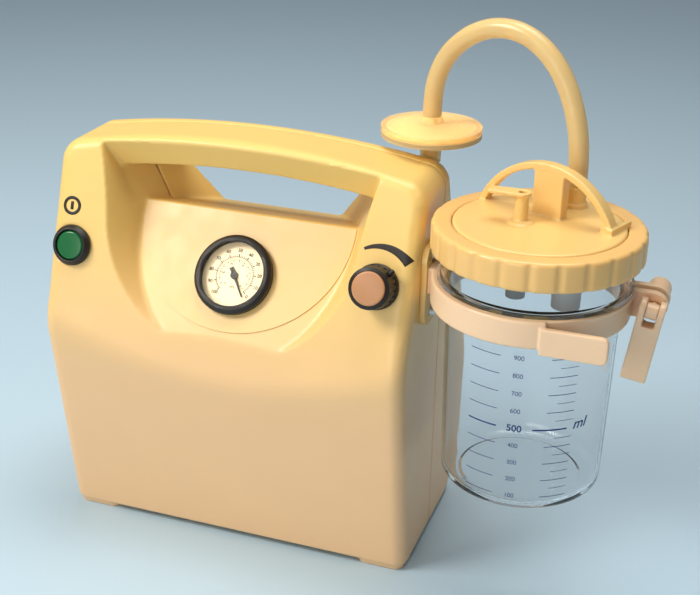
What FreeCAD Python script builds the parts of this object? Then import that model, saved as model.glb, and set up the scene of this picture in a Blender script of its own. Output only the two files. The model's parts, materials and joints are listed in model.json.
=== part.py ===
"""Portable suction unit: a handled pump case with a one-litre canister in a clamp ring at its side.

Millimetres, +Z up. The unit stands on its four feet at z = 0. Distances inside the case are
counted from the middle of its base, and the whole part is then set so that its origin lies
under the middle of its bounding box.
"""
import FreeCAD, Part
import math
import os
import Sketcher

doc = FreeCAD.newDocument("suction_unit")
sheet = doc.addObject("Spreadsheet::Sheet", "Sizes")

# Driving sizes: name, value, meaning
SIZES = [
    ("origin_x", 76.7, "from the case's middle to the part's origin, along X"),
    ("origin_y", -16.3, "from the case's middle to the part's origin, along Y"),
    ("half_width", 130.0, "half of the case's width"),
    ("wall", 3.0, "wall of the case shells"),
    ("foot_height", 5.0, "height of the moulded feet"),
    ("foot_length", 34.0, "length of a foot along the front"),
    ("foot_depth", 22.0, "depth of a foot"),
    ("base_half_depth", 62.0, "half of the case's depth at its base"),
    ("front_lean", 0.156, "how far the lower front leans out for each mm of height"),
    ("crease_mid", 134.0, "height of the front crease in the middle"),
    ("crease_side", 166.0, "height of the front crease at the sides"),
    ("case_top", 291.0, "height of the handle's crown"),
    ("front_top", 38.0, "front of the case, ahead of the seam, at loft_top"),
    ("rear_top", 8.0, "rear of the case, behind the seam, at loft_top"),
    ("loft_top", 300.0, "height where the case's lofts end"),
    ("rear_belly", 75.0, "furthest reach of the rear behind the seam"),
    ("rear_belly_height", 115.0, "height of that reach"),
    ("crown_radius", 640.0, "radius of the handle's crown"),
    ("shoulder_radius", 16.0, "corner radius between crown and sides"),
    ("shoulder_drop", 1.5, "how much lower the shoulder's arc ends than a quarter turn"),
    ("crease_radius", 38.0, "softness of the front crease"),
    ("front_round", 9.0, "edge radius of the front"),
    ("rear_round", 11.0, "edge radius of the rear"),
    ("lip_back", 21.0, "the panel's upper lip, ahead of the seam"),
    ("lip_height", 236.5, "height of the panel's upper lip"),
    ("panel_tilt", 36.4, "lean of the instrument panel, degrees"),
    ("floor_slope", 0.27, "fall of the grip's floor for each mm to the rear"),
    ("grip_top", 268.8, "height of the grip's ceiling in the middle"),
    ("grip_crown", 620.0, "radius of the grip's ceiling"),
    ("brow", 1.75, "rise of the handle's slanted front face for each mm forward"),
    ("brow_back", 30.0, "where the slanted front face ends, ahead of the seam"),
    ("scoop_half", 90.0, "half width of the scoop at its sides' foot"),
    ("scoop_side", 236.0, "height where the scoop's sides start"),
    ("scoop_flare", 12.0, "how far the scoop's sides widen up to the ceiling"),
    ("scoop_bottom", 159.0, "lowest point of the scoop"),
    ("scoop_plane", 57.0, "the plane ahead of the seam where these widths count"),
    ("scoop_taper", 0.32, "narrowing of the scoop for each mm of depth"),
    ("label_radius", 77.0, "radius of the instrument label's lower edge"),
    ("label_thick", 0.8, "thickness of the label"),
    ("grip_back", 45.0, "where the grip's rear opening ends, behind the seam"),
    ("grip_fall", 2.8, "fall of the grip's ceiling from front to seam"),
    ("grip_low", 35.5, "half width of the grip's rear end at its foot"),
    ("grip_high", 64.5, "half width of the grip's rear end at its ceiling"),
    ("gap", 0.3, "clearance between pieces that move past each other"),
    ("fit", 0.05, "running fit of a shaft, radial"),
    ("screw_x", 118.0, "case screws, from the middle"),
    ("screw_low", 22.0, "height of the lower case screws"),
    ("screw_high", 150.0, "height of the upper case screws"),
    ("screw_radius", 2.0, "shank of a case screw"),
    ("screw_head", 3.6, "head of a case screw"),
    ("screw_boss", 6.5, "screw boss of the shells"),
    ("screw_web", 3.0, "plastic under a case screw's head"),
    ("screw_length", 18.0, "length of a case screw"),
    ("slot_width", 56.0, "width of a cooling slot"),
    ("slot_height", 4.0, "height of a cooling slot"),
    ("slot_pitch", 9.0, "pitch of the cooling slots"),
    ("slot_low", 40.0, "height of the lowest cooling slot"),
    ("slot_x", -62.0, "middle of the cooling slots"),
    ("gauge_z", 200.0, "height of the gauge on the panel"),
    ("gauge_cup", 25.0, "radius of the gauge's cup"),
    ("gauge_bezel", 27.5, "radius of the gauge's bezel"),
    ("gauge_window", 22.3, "radius of the gauge's window"),
    ("gauge_glass", 24.0, "radius of the gauge's glass"),
    ("gauge_depth", 24.0, "depth of the gauge's cup behind the panel"),
    ("gauge_rise", 8.0, "height of the gauge's bezel over the panel"),
    ("dial_rise", 1.0, "height of the dial's back over the panel"),
    ("pointer_length", 16.3, "pointer, from its axis to the tip"),
    ("pointer_rest", -58.0, "angle of the pointer at rest, degrees"),
    ("label_low", 38.8, "label below the gauge's axis, along the panel"),
    ("label_high", 44.0, "label above the gauge's axis, along the panel"),
    ("seat_depth", 0.6, "how far a bezel is let into the shell"),
    ("seat_wall", 4.0, "shell under a bezel's seat"),
    ("seat_boss", 15.5, "radius of the thicker shell behind a bezel"),
    ("switch_x", -113.0, "switch, from the middle"),
    ("switch_z", 213.0, "height of the switch"),
    ("switch_bezel", 14.0, "radius of the switch's bezel"),
    ("switch_rise", 5.0, "height of the switch's bezel"),
    ("switch_barrel", 11.0, "radius of the switch's threaded barrel"),
    ("switch_depth", 18.0, "depth of the switch's barrel"),
    ("button_radius", 9.9, "radius of the button"),
    ("button_rise", 4.6, "height of the button at rest"),
    ("button_travel", 3.0, "travel of the button"),
    ("knob_x", 106.0, "regulator knob, from the middle"),
    ("knob_z", 217.0, "height of the regulator knob"),
    ("knob_radius", 14.0, "radius of the knob"),
    ("knob_height", 19.0, "height of the knob"),
    ("knob_cap", 10.9, "radius of the knob's coloured cap"),
    ("spindle_radius", 3.0, "radius of the regulator's spindle"),
    ("valve_radius", 10.0, "radius of the regulator's body"),
    ("valve_depth", 26.0, "depth of the regulator's body behind the shell"),
    ("jar_x", 200.9, "jar's axis, from the middle"),
    ("jar_y", -40.5, "jar's axis, from the seam"),
    ("jar_bottom", 89.3, "height of the jar's underside"),
    ("jar_radius", 52.5, "radius of the jar at its bottom"),
    ("jar_taper", 0.0195, "widening of the jar for each mm of height"),
    ("jar_wall", 2.5, "wall of the jar"),
    ("jar_corner", 8.0, "inner corner radius at the jar's floor"),
    ("jar_bead", 61.0, "radius of the jar's shoulder, which sits on the ring"),
    ("jar_neck", 59.0, "radius of the jar's neck"),
    ("jar_rim", 258.7, "height of the jar's rim"),
    ("band_low", 209.7, "underside of the holder's ring"),
    ("band_top", 227.6, "top of the holder's ring"),
    ("band_bore", 57.5, "bore of the holder's ring"),
    ("band_wall", 3.1, "thickness of the ring's thin part"),
    ("band_thick", 7.0, "thickness of the ring's thick part"),
    ("band_step", -72.0, "angle where the ring's thick part ends at the front, degrees"),
    ("tab_end", 57.0, "end of the front tab, right of the jar's axis"),
    ("tab_front", 63.5, "front face of the tab, ahead of the jar's axis"),
    ("tab_thick", 4.0, "thickness of the tab"),
    ("tab_low", 207.0, "underside of the tab"),
    ("tab_top", 224.0, "top of the tab"),
    ("lug_end", 82.0, "end of the clamp's lugs, right of the jar's axis"),
    ("lug_front", 6.0, "front of the front lug, behind the jar's axis"),
    ("lug_thick", 5.0, "thickness of a lug"),
    ("lug_split", 6.0, "split between the lugs"),
    ("bolt_x", 73.5, "clamp bolt, right of the jar's axis"),
    ("bolt_radius", 3.0, "radius of the clamp bolt"),
    ("pin_radius", 2.5, "radius of the lever's pin"),
    ("cam_radius", 7.7, "radius of the lever's cam"),
    ("lever_width", 16.0, "width of the clamp lever"),
    ("lever_thick", 6.0, "thickness of the clamp lever"),
    ("lever_drop", 48.0, "length of the lever below its pin"),
    ("lever_tilt", 8.0, "sideways tilt of the hanging lever, degrees"),
    ("nut_radius", 7.5, "radius of the clamp's nut"),
    ("nut_length", 18.0, "length of the clamp's nut"),
    ("plate_y", -36.0, "middle of the holder's plate"),
    ("plate_half", 15.0, "half width of the holder's plate"),
    ("plate_low", 185.0, "lower end of the holder's plate"),
    ("plate_top", 240.0, "upper end of the holder's plate"),
    ("plate_thick", 3.8, "thickness of the holder's plate"),
    ("lid_radius", 66.3, "radius of the screw ring"),
    ("lid_low", 246.1, "underside of the screw ring"),
    ("lid_top", 264.9, "top of the screw ring"),
    ("lid_bore", 59.9, "bore of the screw ring"),
    ("lid_window", 53.7, "hole in the top of the screw ring"),
    ("cover_flange", 59.4, "radius of the cover's flange"),
    ("cover_seat", 260.0, "underside of the cover's flange"),
    ("cover_flange_thick", 2.0, "thickness of the cover's flange"),
    ("grip_notches", 24.0, "grip notches round the screw ring"),
    ("notch_radius", 3.2, "radius of a grip notch"),
    ("port_x", -11.0, "patient port, from the jar's axis"),
    ("port_y", -3.5, "patient port, from the jar's axis"),
    ("port_radius", 4.2, "radius of a hose port"),
    ("port_bore", 2.6, "bore of a hose port"),
    ("port_top", 285.0, "top of the patient port"),
    ("vacuum_x", 15.0, "vacuum port, from the jar's axis"),
    ("vacuum_y", 36.5, "vacuum port, from the jar's axis"),
    ("vacuum_step", 280.0, "height where the vacuum hose ends"),
    ("arch_x", 1.5, "middle of the lid's arch, from the jar's axis"),
    ("arch_y", 15.0, "middle of the lid's arch, from the jar's axis"),
    ("arch_angle", -21.0, "direction of the lid's arch, degrees"),
    ("arch_half", 49.0, "half span of the lid's arch"),
    ("arch_peak", 299.0, "height of the lid's arch"),
    ("arch_thick", 4.5, "thickness of the arch"),
    ("arch_width", 8.0, "width of the arch"),
    ("cage_radius", 10.5, "radius of the float cage"),
    ("cage_low", 222.0, "underside of the float cage"),
    ("ball_radius", 8.4, "radius of the float ball"),
    ("filter_x", 111.0, "filter's axis, from the middle"),
    ("filter_y", 28.0, "filter's axis, behind the seam"),
    ("filter_radius", 34.0, "radius of the filter disc"),
    ("filter_mid", 294.0, "height of the filter's membrane"),
    ("filter_half", 3.4, "half thickness of the filter at its rim"),
    ("filter_top", 304.0, "top of the filter's upper hub, where the hose starts"),
    ("spigot_seat", 250.0, "height of the spigot's seat on the rear shell"),
    ("spigot_radius", 5.0, "radius of the spigot"),
    ("spigot_reach", 44.0, "how far the spigot reaches below its seat"),
    ("spigot_top", 281.0, "top of the spigot"),
    ("hose_radius", 6.35, "outer radius of the vacuum hose"),
    ("hose_bore", 4.5, "bore radius of the vacuum hose"),
    ("tube_radius", 4.0, "outer radius of the hoses inside"),
    ("tube_bore", 2.4, "bore radius of the hoses inside"),
    ("inlet_x", 75.0, "mains inlet, from the middle"),
    ("inlet_z", 36.0, "height of the mains inlet"),
    ("inlet_wide", 32.0, "width of the mains inlet's flange"),
    ("inlet_high", 40.0, "height of the mains inlet's flange"),
    ("inlet_floor", 58.0, "floor of the inlet's recess, behind the seam"),
    ("inlet_depth", 20.0, "depth of the mains inlet behind its flange"),
    ("motor_z", 50.0, "height of the motor's shaft"),
    ("motor_radius", 24.0, "radius of the motor"),
    ("motor_length", 70.0, "length of the motor"),
    ("motor_face", -5.0, "front face of the motor, along X"),
    ("shaft_radius", 3.0, "radius of the motor's shaft"),
    ("fan_radius", 24.0, "radius of the cooling fan"),
    ("fan_blades", 7.0, "blades of the cooling fan"),
    ("throw", 2.0, "eccentricity of the crank"),
    ("crank_x", 10.0, "start of the crank, along X"),
    ("crank_length", 8.0, "length of the crank"),
    ("crank_radius", 9.0, "radius of the crank"),
    ("crank_pin", 4.0, "radius of the crank's pin"),
    ("rod_thick", 7.0, "thickness of the connecting rod"),
    ("head_z", 98.0, "underside of the diaphragm"),
    ("head_radius", 27.0, "radius of the diaphragm and pump head"),
    ("head_height", 27.0, "height of the pump head"),
    ("diaphragm_thick", 2.5, "thickness of the diaphragm"),
    ("base_plate", 2.5, "thickness of the pump's folded base"),
    ("mount_height", 8.0, "height of the rubber mounts"),
    ("mount_radius", 7.0, "radius of a rubber mount"),
    ("cross_z", 184.0, "height of the hose cross"),
]
for row, (alias, value, meaning) in enumerate(SIZES, start=1):
    sheet.set("A%d" % row, alias)
    sheet.set("B%d" % row, str(value))
    sheet.set("C%d" % row, meaning)
    sheet.setAlias("B%d" % row, alias)
doc.recompute()


class Size:
    """A length that knows its value now and the expression it comes from."""

    def __init__(self, value, text):
        self.value = value
        self.text = text

    def __add__(self, other):
        other = size(other)
        return Size(self.value + other.value, "(%s + %s)" % (self.text, other.text))

    def __sub__(self, other):
        other = size(other)
        return Size(self.value - other.value, "(%s - %s)" % (self.text, other.text))

    def __mul__(self, other):
        other = size(other)
        return Size(self.value * other.value, "(%s * %s)" % (self.text, other.text))

    def __truediv__(self, other):
        other = size(other)
        return Size(self.value / other.value, "(%s / %s)" % (self.text, other.text))

    def __neg__(self):
        return Size(-self.value, "(0 - %s)" % self.text)

    __radd__ = __add__
    __rmul__ = __mul__

    def __rsub__(self, other):
        return size(other) - self

    def __rtruediv__(self, other):
        return size(other) / self


def size(number):
    """A plain number or a Size, as a Size."""
    if isinstance(number, Size):
        return number
    return Size(float(number), "%.6g" % number)


class Sheet:
    """Reads a named cell as a Size, so that S.wall stands for the cell called wall."""

    def __getattr__(self, alias):
        return Size(float(sheet.get(alias)), "Sizes.%s" % alias)


S = Sheet()


def sine(degrees):
    degrees = size(degrees)
    return Size(math.sin(math.radians(degrees.value)), "sin(%s * 1 deg)" % degrees.text)


def cosine(degrees):
    degrees = size(degrees)
    return Size(math.cos(math.radians(degrees.value)), "cos(%s * 1 deg)" % degrees.text)


def tangent(degrees):
    degrees = size(degrees)
    return Size(math.tan(math.radians(degrees.value)), "tan(%s * 1 deg)" % degrees.text)


def root(amount):
    """The square root, as a Size."""
    amount = size(amount)
    return Size(math.sqrt(amount.value), "sqrt(%s)" % amount.text)


def bind(feature, path, amount):
    """Ties one property of a feature to the sheet."""
    feature.setExpression(path, size(amount).text)


def constrain(sketch, kind, *where, amount):
    """Adds a dimension to a sketch and ties it to the sheet."""
    amount = size(amount)
    number = sketch.addConstraint(Sketcher.Constraint(kind, *where, amount.value))
    if "Sizes." in amount.text:
        sketch.setExpression("Constraints[%d]" % number, amount.text)
    return number


def arc_between(start, end, radius, bulge):
    """The arc from start to end. bulge is 1 for a middle on the left of that chord, -1 for the right."""
    sx, sy = start
    ex, ey = end
    chord = math.hypot(ex - sx, ey - sy)
    rise = math.sqrt(max(radius ** 2 - chord ** 2 / 4, 0.0))
    left = (-(ey - sy) / chord, (ex - sx) / chord)
    mid = ((sx + ex) / 2, (sy + ey) / 2)
    centre = (mid[0] - bulge * left[0] * rise, mid[1] - bulge * left[1] * rise)
    first, last = (end, start) if bulge > 0 else (start, end)
    a0 = math.atan2(first[1] - centre[1], first[0] - centre[0])
    a1 = math.atan2(last[1] - centre[1], last[0] - centre[0])
    circle = Part.Circle(FreeCAD.Vector(centre[0], centre[1], 0), FreeCAD.Vector(0, 0, 1), radius)
    return Part.ArcOfCircle(circle, a0, a1 if a1 > a0 else a1 + 2 * math.pi), bulge > 0


def outline(sketch, points):
    """A closed outline. Each point is (x, y) for a straight edge to the next point, or
    (x, y, radius, bulge) for an arc to the next one."""
    spots = [(size(point[0]), size(point[1])) for point in points]
    first = sketch.GeometryCount
    ends = []
    for number, point in enumerate(points):
        here = (spots[number][0].value, spots[number][1].value)
        there_size = spots[(number + 1) % len(spots)]
        there = (there_size[0].value, there_size[1].value)
        if len(point) == 4:
            arc, turned = arc_between(here, there, size(point[2]).value, point[3])
            sketch.addGeometry(arc, False)
            ends.append((2, 1) if turned else (1, 2))
        else:
            line = Part.LineSegment(FreeCAD.Vector(*here, 0), FreeCAD.Vector(*there, 0))
            sketch.addGeometry(line, False)
            ends.append((1, 2))
    for number, point in enumerate(points):
        after = (number + 1) % len(points)
        sketch.addConstraint(Sketcher.Constraint(
            "Coincident", first + number, ends[number][1], first + after, ends[after][0]))
    for number, point in enumerate(points):
        place = (first + number, ends[number][0])
        for kind, amount in (("DistanceX", spots[number][0]), ("DistanceY", spots[number][1])):
            constrain(sketch, kind, -1, 1, *place, amount=amount)
        if len(point) == 4:
            constrain(sketch, "Radius", first + number, amount=point[2])


def circle(sketch, radius, x=0.0, y=0.0):
    """A full circle about a point of the sketch."""
    x, y, radius = size(x), size(y), size(radius)
    number = sketch.addGeometry(Part.Circle(
        FreeCAD.Vector(x.value, y.value, 0), FreeCAD.Vector(0, 0, 1), radius.value), False)
    constrain(sketch, "DistanceX", -1, 1, number, 3, amount=x)
    constrain(sketch, "DistanceY", -1, 1, number, 3, amount=y)
    constrain(sketch, "Radius", number, amount=radius)


TURNS = {
    "XY": FreeCAD.Rotation(),
    "XZ": FreeCAD.Rotation(FreeCAD.Vector(1, 0, 0), 90),
    "YZ": FreeCAD.Rotation(FreeCAD.Vector(1, 1, 1), 120),
}


def free_sketch(name, plane, offset, points):
    """A sketch on its own, on a plane parallel to XY, XZ or YZ. offset is along that plane's axis."""
    sketch = doc.addObject("Sketcher::SketchObject", name)
    sketch.Placement = FreeCAD.Placement(FreeCAD.Vector(), TURNS[plane])
    axis = {"XY": "z", "XZ": "y", "YZ": "x"}[plane]
    bind(sketch, "Placement.Base.%s" % axis, offset)
    outline(sketch, points)
    return sketch


def loft(name, sections):
    """A solid through free sketches, with straight sides between them."""
    feature = doc.addObject("Part::Loft", name)
    feature.Sections = sections
    feature.Solid = True
    feature.Ruled = len(sections) == 2 or name.startswith("scoop")
    return feature


def extrusion(name, sketch, direction, length):
    """A free sketch pushed out along an axis, from length before its plane to length behind it."""
    feature = doc.addObject("Part::Extrusion", name)
    feature.Base = sketch
    feature.DirMode = "Custom"
    feature.Dir = FreeCAD.Vector(*direction)
    bind(feature, "LengthFwd", length)
    bind(feature, "LengthRev", length)
    feature.Solid = True
    return feature


def common(name, *shapes):
    feature = doc.addObject("Part::MultiCommon", name)
    feature.Shapes = list(shapes)
    return feature


def fuse(name, *shapes):
    feature = doc.addObject("Part::MultiFuse", name)
    feature.Shapes = list(shapes)
    feature.Refine = True
    return feature


def cut(name, base, tool):
    feature = doc.addObject("Part::Cut", name)
    feature.Base = base
    feature.Tool = tool
    return feature


def round_edges(name, base, radius, wanted):
    """A Part fillet of the edges that wanted accepts, judged by their middle point and their ends."""
    doc.recompute()
    chosen = []
    for number, edge in enumerate(base.Shape.Edges, start=1):
        middle = edge.valueAt((edge.FirstParameter + edge.LastParameter) / 2)
        if wanted(edge, middle):
            chosen.append(number)
    if not chosen:
        raise ValueError("no edge to round for " + name)
    feature = doc.addObject("Part::Fillet", name)
    feature.Base = base
    reach = size(radius).value
    feature.Edges = [(number, reach, reach) for number in chosen]
    return feature


def box(name, lows, highs):
    """A box between two corners."""
    feature = doc.addObject("Part::Box", name)
    for axis, side, low, high in zip("xyz", ("Length", "Width", "Height"), lows, highs):
        bind(feature, "Placement.Base." + axis, low)
        bind(feature, side, size(high) - size(low))
    return feature


def rod(name, place, axis, radius, length):
    """A cylinder that starts at place and runs along an axis: x, y or z, or -y."""
    feature = doc.addObject("Part::Cylinder", name)
    bind(feature, "Radius", radius)
    bind(feature, "Height", length)
    turn = {
        "x": FreeCAD.Rotation(FreeCAD.Vector(0, 1, 0), 90),
        "y": FreeCAD.Rotation(FreeCAD.Vector(1, 0, 0), -90),
        "-y": FreeCAD.Rotation(FreeCAD.Vector(1, 0, 0), 90),
        "z": FreeCAD.Rotation(),
    }[axis]
    feature.Placement = FreeCAD.Placement(FreeCAD.Vector(), turn)
    for letter, amount in zip("xyz", place):
        bind(feature, "Placement.Base." + letter, amount)
    return feature


# The case's outer form, and the hollow inside it

def belly(height):
    """How far the leaning lower front is ahead of the seam at a height."""
    return S.base_half_depth + S.front_lean * (size(height) - S.foot_height)


def front_section(name, across, crease, inset):
    """The front half's side view at one place across it, drawn in by inset."""
    low = S.foot_height + inset
    return free_sketch(name, "YZ", across, [
        (0.0, low),
        (0.0, S.loft_top),
        (inset - S.front_top, S.loft_top),
        (inset - belly(crease), crease),
        (inset - belly(low), low),
    ])


def front_form(tag, inset):
    """The front half: its crease dips in the middle, like a smile."""
    reach = S.half_width + 1.0
    depth = loft("front_depth_" + tag, [
        front_section("front_left_" + tag, -reach, S.crease_side, inset),
        front_section("front_mid_" + tag, 0.0, S.crease_mid, inset),
        front_section("front_right_" + tag, reach, S.crease_side, inset),
    ])
    creased = round_edges("front_creased_" + tag, depth, S.crease_radius, lambda edge, middle: (
        abs(middle.x) < 1 and abs(middle.z - S.crease_mid.value) < 1))
    return common("front_form_" + tag, creased, front_view("front", tag, inset))


def rear_form(tag, inset):
    """The rear half: upright below, then leaning forward up to the handle."""
    low = S.foot_height + inset
    side_view = free_sketch("rear_side_" + tag, "YZ", 0.0, [
        (0.0, low),
        (S.base_half_depth - inset, low),
        (S.rear_belly - inset, S.rear_belly_height),
        (S.rear_top - inset, S.loft_top),
        (0.0, S.loft_top),
    ])
    depth = extrusion("rear_depth_" + tag, side_view, (1, 0, 0), S.half_width + 1.0)
    creased = round_edges("rear_creased_" + tag, depth, S.crease_radius, lambda edge, middle: (
        abs(middle.x) < 1 and abs(middle.z - S.rear_belly_height.value) < 1))
    return common("rear_form_" + tag, creased, front_view("rear", tag, inset))


def front_view(half, tag, inset):
    """The case as seen from the front, pushed through it: upright sides, round shoulders, arched crown."""
    inset = size(inset)
    side = S.half_width - inset
    crown = S.case_top - inset
    radius = S.crown_radius - inset
    shoulder = S.shoulder_radius - inset
    edge = side - shoulder
    fall = radius - root(radius * radius - edge * edge)
    low = S.foot_height + inset
    spring = crown - fall - shoulder + S.shoulder_drop
    view = free_sketch("%s_view_%s" % (half, tag), "XZ", 0.0, [
        (-side, low),
        (side, low),
        (side, spring, shoulder, -1),
        (edge, crown - fall, radius, -1),
        (-edge, crown - fall, shoulder, -1),
        (-side, spring),
    ])
    return extrusion("%s_across_%s" % (half, tag), view, (0, 1, 0), S.rear_belly + S.front_top)


def on_rim(edge, middle):
    """True for an edge where the case's front or rear face meets its sides, shoulders or crown."""
    if min(abs(vertex.Point.y) for vertex in edge.Vertexes) < 1:
        return False
    heights = [vertex.Point.z for vertex in edge.Vertexes]
    across = abs(middle.x) < 1 and middle.z < S.case_top.value - 2 * S.wall.value
    return not across and max(heights) > 2 * S.foot_height.value + S.wall.value


front_outer = round_edges("front_outer", front_form("outer", size(0.0)), S.front_round, on_rim)
rear_outer = round_edges("rear_outer", rear_form("outer", size(0.0)), S.rear_round, on_rim)
front_hollow = round_edges("front_hollow", front_form("hollow", S.wall), S.front_round - S.wall, on_rim)
rear_hollow = round_edges("rear_hollow", rear_form("hollow", S.wall), S.rear_round - S.wall, on_rim)


# Placing, turned bodies and plates

def lean_back(slope):
    """The turn about X that points Z out of a face which leans back by slope mm for each mm of height."""
    slope = size(slope)
    return Size(90 - math.degrees(math.atan(slope.value)), "90 deg - atan(%s)" % slope.text)


def set_down(feature, place, turn=None, lean=None):
    """Sets a feature's Placement: a fixed turn or a bound lean about X, and a bound place."""
    rotation = turn or FreeCAD.Rotation()
    if lean is not None:
        rotation = FreeCAD.Rotation(FreeCAD.Vector(1, 0, 0), lean.value)
    feature.Placement = FreeCAD.Placement(FreeCAD.Vector(), rotation)
    if lean is not None:
        feature.setExpression("Placement.Rotation.Angle", lean.text)
    for letter, amount in zip("xyz", place):
        bind(feature, "Placement.Base." + letter, amount)
    return feature


FRONT = FreeCAD.Rotation(FreeCAD.Vector(1, 0, 0), 90)
REAR = FreeCAD.Rotation(FreeCAD.Vector(1, 0, 0), -90)
RIGHT = FreeCAD.Rotation(FreeCAD.Vector(0, 1, 0), 90)


def body_sketch(name, plane):
    """A new body with one sketch on one of its own planes."""
    body = doc.addObject("PartDesign::Body", name)
    sketch = body.newObject("Sketcher::SketchObject", name + "_sketch")
    base = [feature for feature in body.Origin.OriginFeatures if feature.Role == plane][0]
    sketch.AttachmentSupport = [(base, "")]
    sketch.MapMode = "FlatFace"
    return body, sketch


def turned(name, profile, place=(0, 0, 0), turn=None, lean=None):
    """A body turned about its own Z. The profile's points are (radius, height)."""
    body, sketch = body_sketch(name, "XZ_Plane")
    outline(sketch, profile)
    feature = body.newObject("PartDesign::Revolution", name + "_turn")
    feature.Profile = sketch
    feature.ReferenceAxis = (sketch, ["V_Axis"])
    feature.Angle = 360
    return set_down(body, place, turn, lean)


def plate(name, points, thickness, place=(0, 0, 0), turn=None, lean=None, holes=()):
    """A body padded up its own Z from an outline, with round holes (radius, x, y)."""
    body, sketch = body_sketch(name, "XY_Plane")
    if points:
        outline(sketch, points)
    for hole in holes:
        circle(sketch, *hole)
    feature = body.newObject("PartDesign::Pad", name + "_pad")
    feature.Profile = sketch
    bind(feature, "Length", thickness)
    return set_down(body, place, turn, lean)


def pipe(name, radius, bore, length, place, turn=None, lean=None):
    """A straight tube, or a plain rod where bore is 0."""
    holes = [(radius, 0.0, 0.0)]
    if size(bore).value > 0:
        holes.append((bore, 0.0, 0.0))
    return plate(name, [], length, place, turn, lean, holes)


def rounded(wide, high, radius, x=0.0, y=0.0):
    """The outline of a rectangle with round corners."""
    x, y = size(x), size(y)
    left, right = x - size(wide) / 2, x + size(wide) / 2
    low, top = y - size(high) / 2, y + size(high) / 2
    return [
        (left + radius, low),
        (right - radius, low, radius, -1),
        (right, low + radius),
        (right, top - radius, radius, -1),
        (right - radius, top),
        (left + radius, top, radius, -1),
        (left, top - radius),
        (left, low + radius, radius, -1),
    ]


def hexagon(reach):
    """The outline of a six-sided nut, from its middle out to its corners."""
    return [(reach * math.cos(math.radians(60 * corner)), reach * math.sin(math.radians(60 * corner)))
            for corner in range(6)]


NODES = {}


def node(label, *shapes):
    """A finished sub-part, moved so that the part's origin lies under the middle of its box."""
    feature = doc.addObject("Part::Compound", "node_" + label)
    feature.Links = list(shapes)
    feature.Label = label
    bind(feature, "Placement.Base.x", -S.origin_x)
    bind(feature, "Placement.Base.y", -S.origin_y)
    NODES[label] = feature
    return feature


# The scoop in the front and the grip through the handle

def scoop_outline(name, ahead, top_half, ceiling, grow):
    """The scoop's outline on a plane ahead of the seam: a round bottom, flared sides, an arched top."""
    depth = S.scoop_plane - ahead
    half = S.scoop_half - S.scoop_taper * depth + grow
    rise = S.scoop_side - S.scoop_bottom - S.scoop_taper * depth + grow
    radius = (half * half + rise * rise) / (2 * rise)
    crown = S.grip_crown - grow
    top_half = top_half + grow
    top = size(ceiling) + grow - crown + root(crown * crown - top_half * top_half)
    return free_sketch(name, "XZ", -size(ahead), [
        (-half, S.scoop_side, radius, -1),
        (half, S.scoop_side),
        (top_half, top, crown, -1),
        (-top_half, top),
    ])


def seam_half():
    """Half width of the scoop's sides where they reach the seam, at their foot."""
    return S.scoop_half - S.scoop_taper * S.scoop_plane


def grip_end(name, back, low_half, low, top_half, ceiling, grow):
    """The grip's outline behind the seam."""
    crown = S.grip_crown - grow
    top_half = size(top_half) + grow
    low_half = size(low_half) + grow
    top = size(ceiling) + grow - crown + root(crown * crown - top_half * top_half)
    return free_sketch(name, "XZ", back, [
        (-low_half, size(low) - grow),
        (low_half, size(low) - grow),
        (top_half, top, crown, -1),
        (-top_half, top),
    ])


def panel_wedge(tag, grow):
    """What stays solid under the instrument panel and the grip's floor, sunk by grow."""
    tilt = S.panel_tilt
    shift = grow * (1 / sine(tilt) - root(1 + S.floor_slope * S.floor_slope))
    shift = shift / (1 / tangent(tilt) + S.floor_slope)
    lip_y = shift - S.lip_back
    lip_z = S.lip_height - S.floor_slope * shift - grow * root(1 + S.floor_slope * S.floor_slope)
    front, back = size(110.0), size(100.0)
    side_view = free_sketch("wedge_side_" + tag, "YZ", 0.0, [
        (-front, lip_z - (front + lip_y) / tangent(tilt)),
        (back, lip_z - (front + lip_y) / tangent(tilt)),
        (back, lip_z - (back - lip_y) * S.floor_slope),
        (lip_y, lip_z),
    ])
    return extrusion("wedge_" + tag, side_view, (1, 0, 0), S.half_width)


def grip_cutter(tag, grow):
    """The scoop with the grip's front half, and the grip's rear half."""
    mouth = size(96.0)
    flared = S.scoop_flare + (mouth - S.brow_back) * 0.16
    ceiling = S.grip_top + (mouth - S.brow_back) * S.brow
    brow_depth = S.scoop_plane - S.brow_back
    scoop = loft("scoop_" + tag, [
        scoop_outline("scoop_mouth_" + tag, mouth,
                      S.scoop_half - S.scoop_taper * (S.scoop_plane - mouth) + flared, ceiling, grow),
        scoop_outline("scoop_brow_" + tag, S.brow_back,
                      S.scoop_half - S.scoop_taper * brow_depth + S.scoop_flare, S.grip_top, grow),
        scoop_outline("scoop_seam_" + tag, size(0.0),
                      seam_half() + S.scoop_flare, S.grip_top - S.grip_fall, grow),
    ])
    rear = loft("scoop_rear_" + tag, [
        grip_end("grip_seam_" + tag, 0.0, seam_half() - 3.5, S.scoop_side - 8,
                 seam_half() + S.scoop_flare, S.grip_top - S.grip_fall, grow),
        grip_end("grip_back_" + tag, S.grip_back, S.grip_low, S.scoop_side - 23,
                 S.grip_high, S.grip_top - S.grip_fall, grow),
    ])
    wedge = panel_wedge(tag, grow)
    return cut("scoop_cutter_" + tag, scoop, wedge), cut("grip_cutter_" + tag, rear, wedge)


scoop_out, grip_out = grip_cutter("out", size(0.0))
scoop_in, grip_in = grip_cutter("in", S.wall)
front_solid = cut("front_solid", front_outer, cut("front_cavity", front_hollow, scoop_in))
front_skin = cut("front_skin", front_solid, scoop_out)
rear_solid = cut("rear_solid", rear_outer, cut("rear_cavity", rear_hollow, grip_in))
rear_skin = cut("rear_skin", rear_solid, grip_out)


# The case's shells

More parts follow.
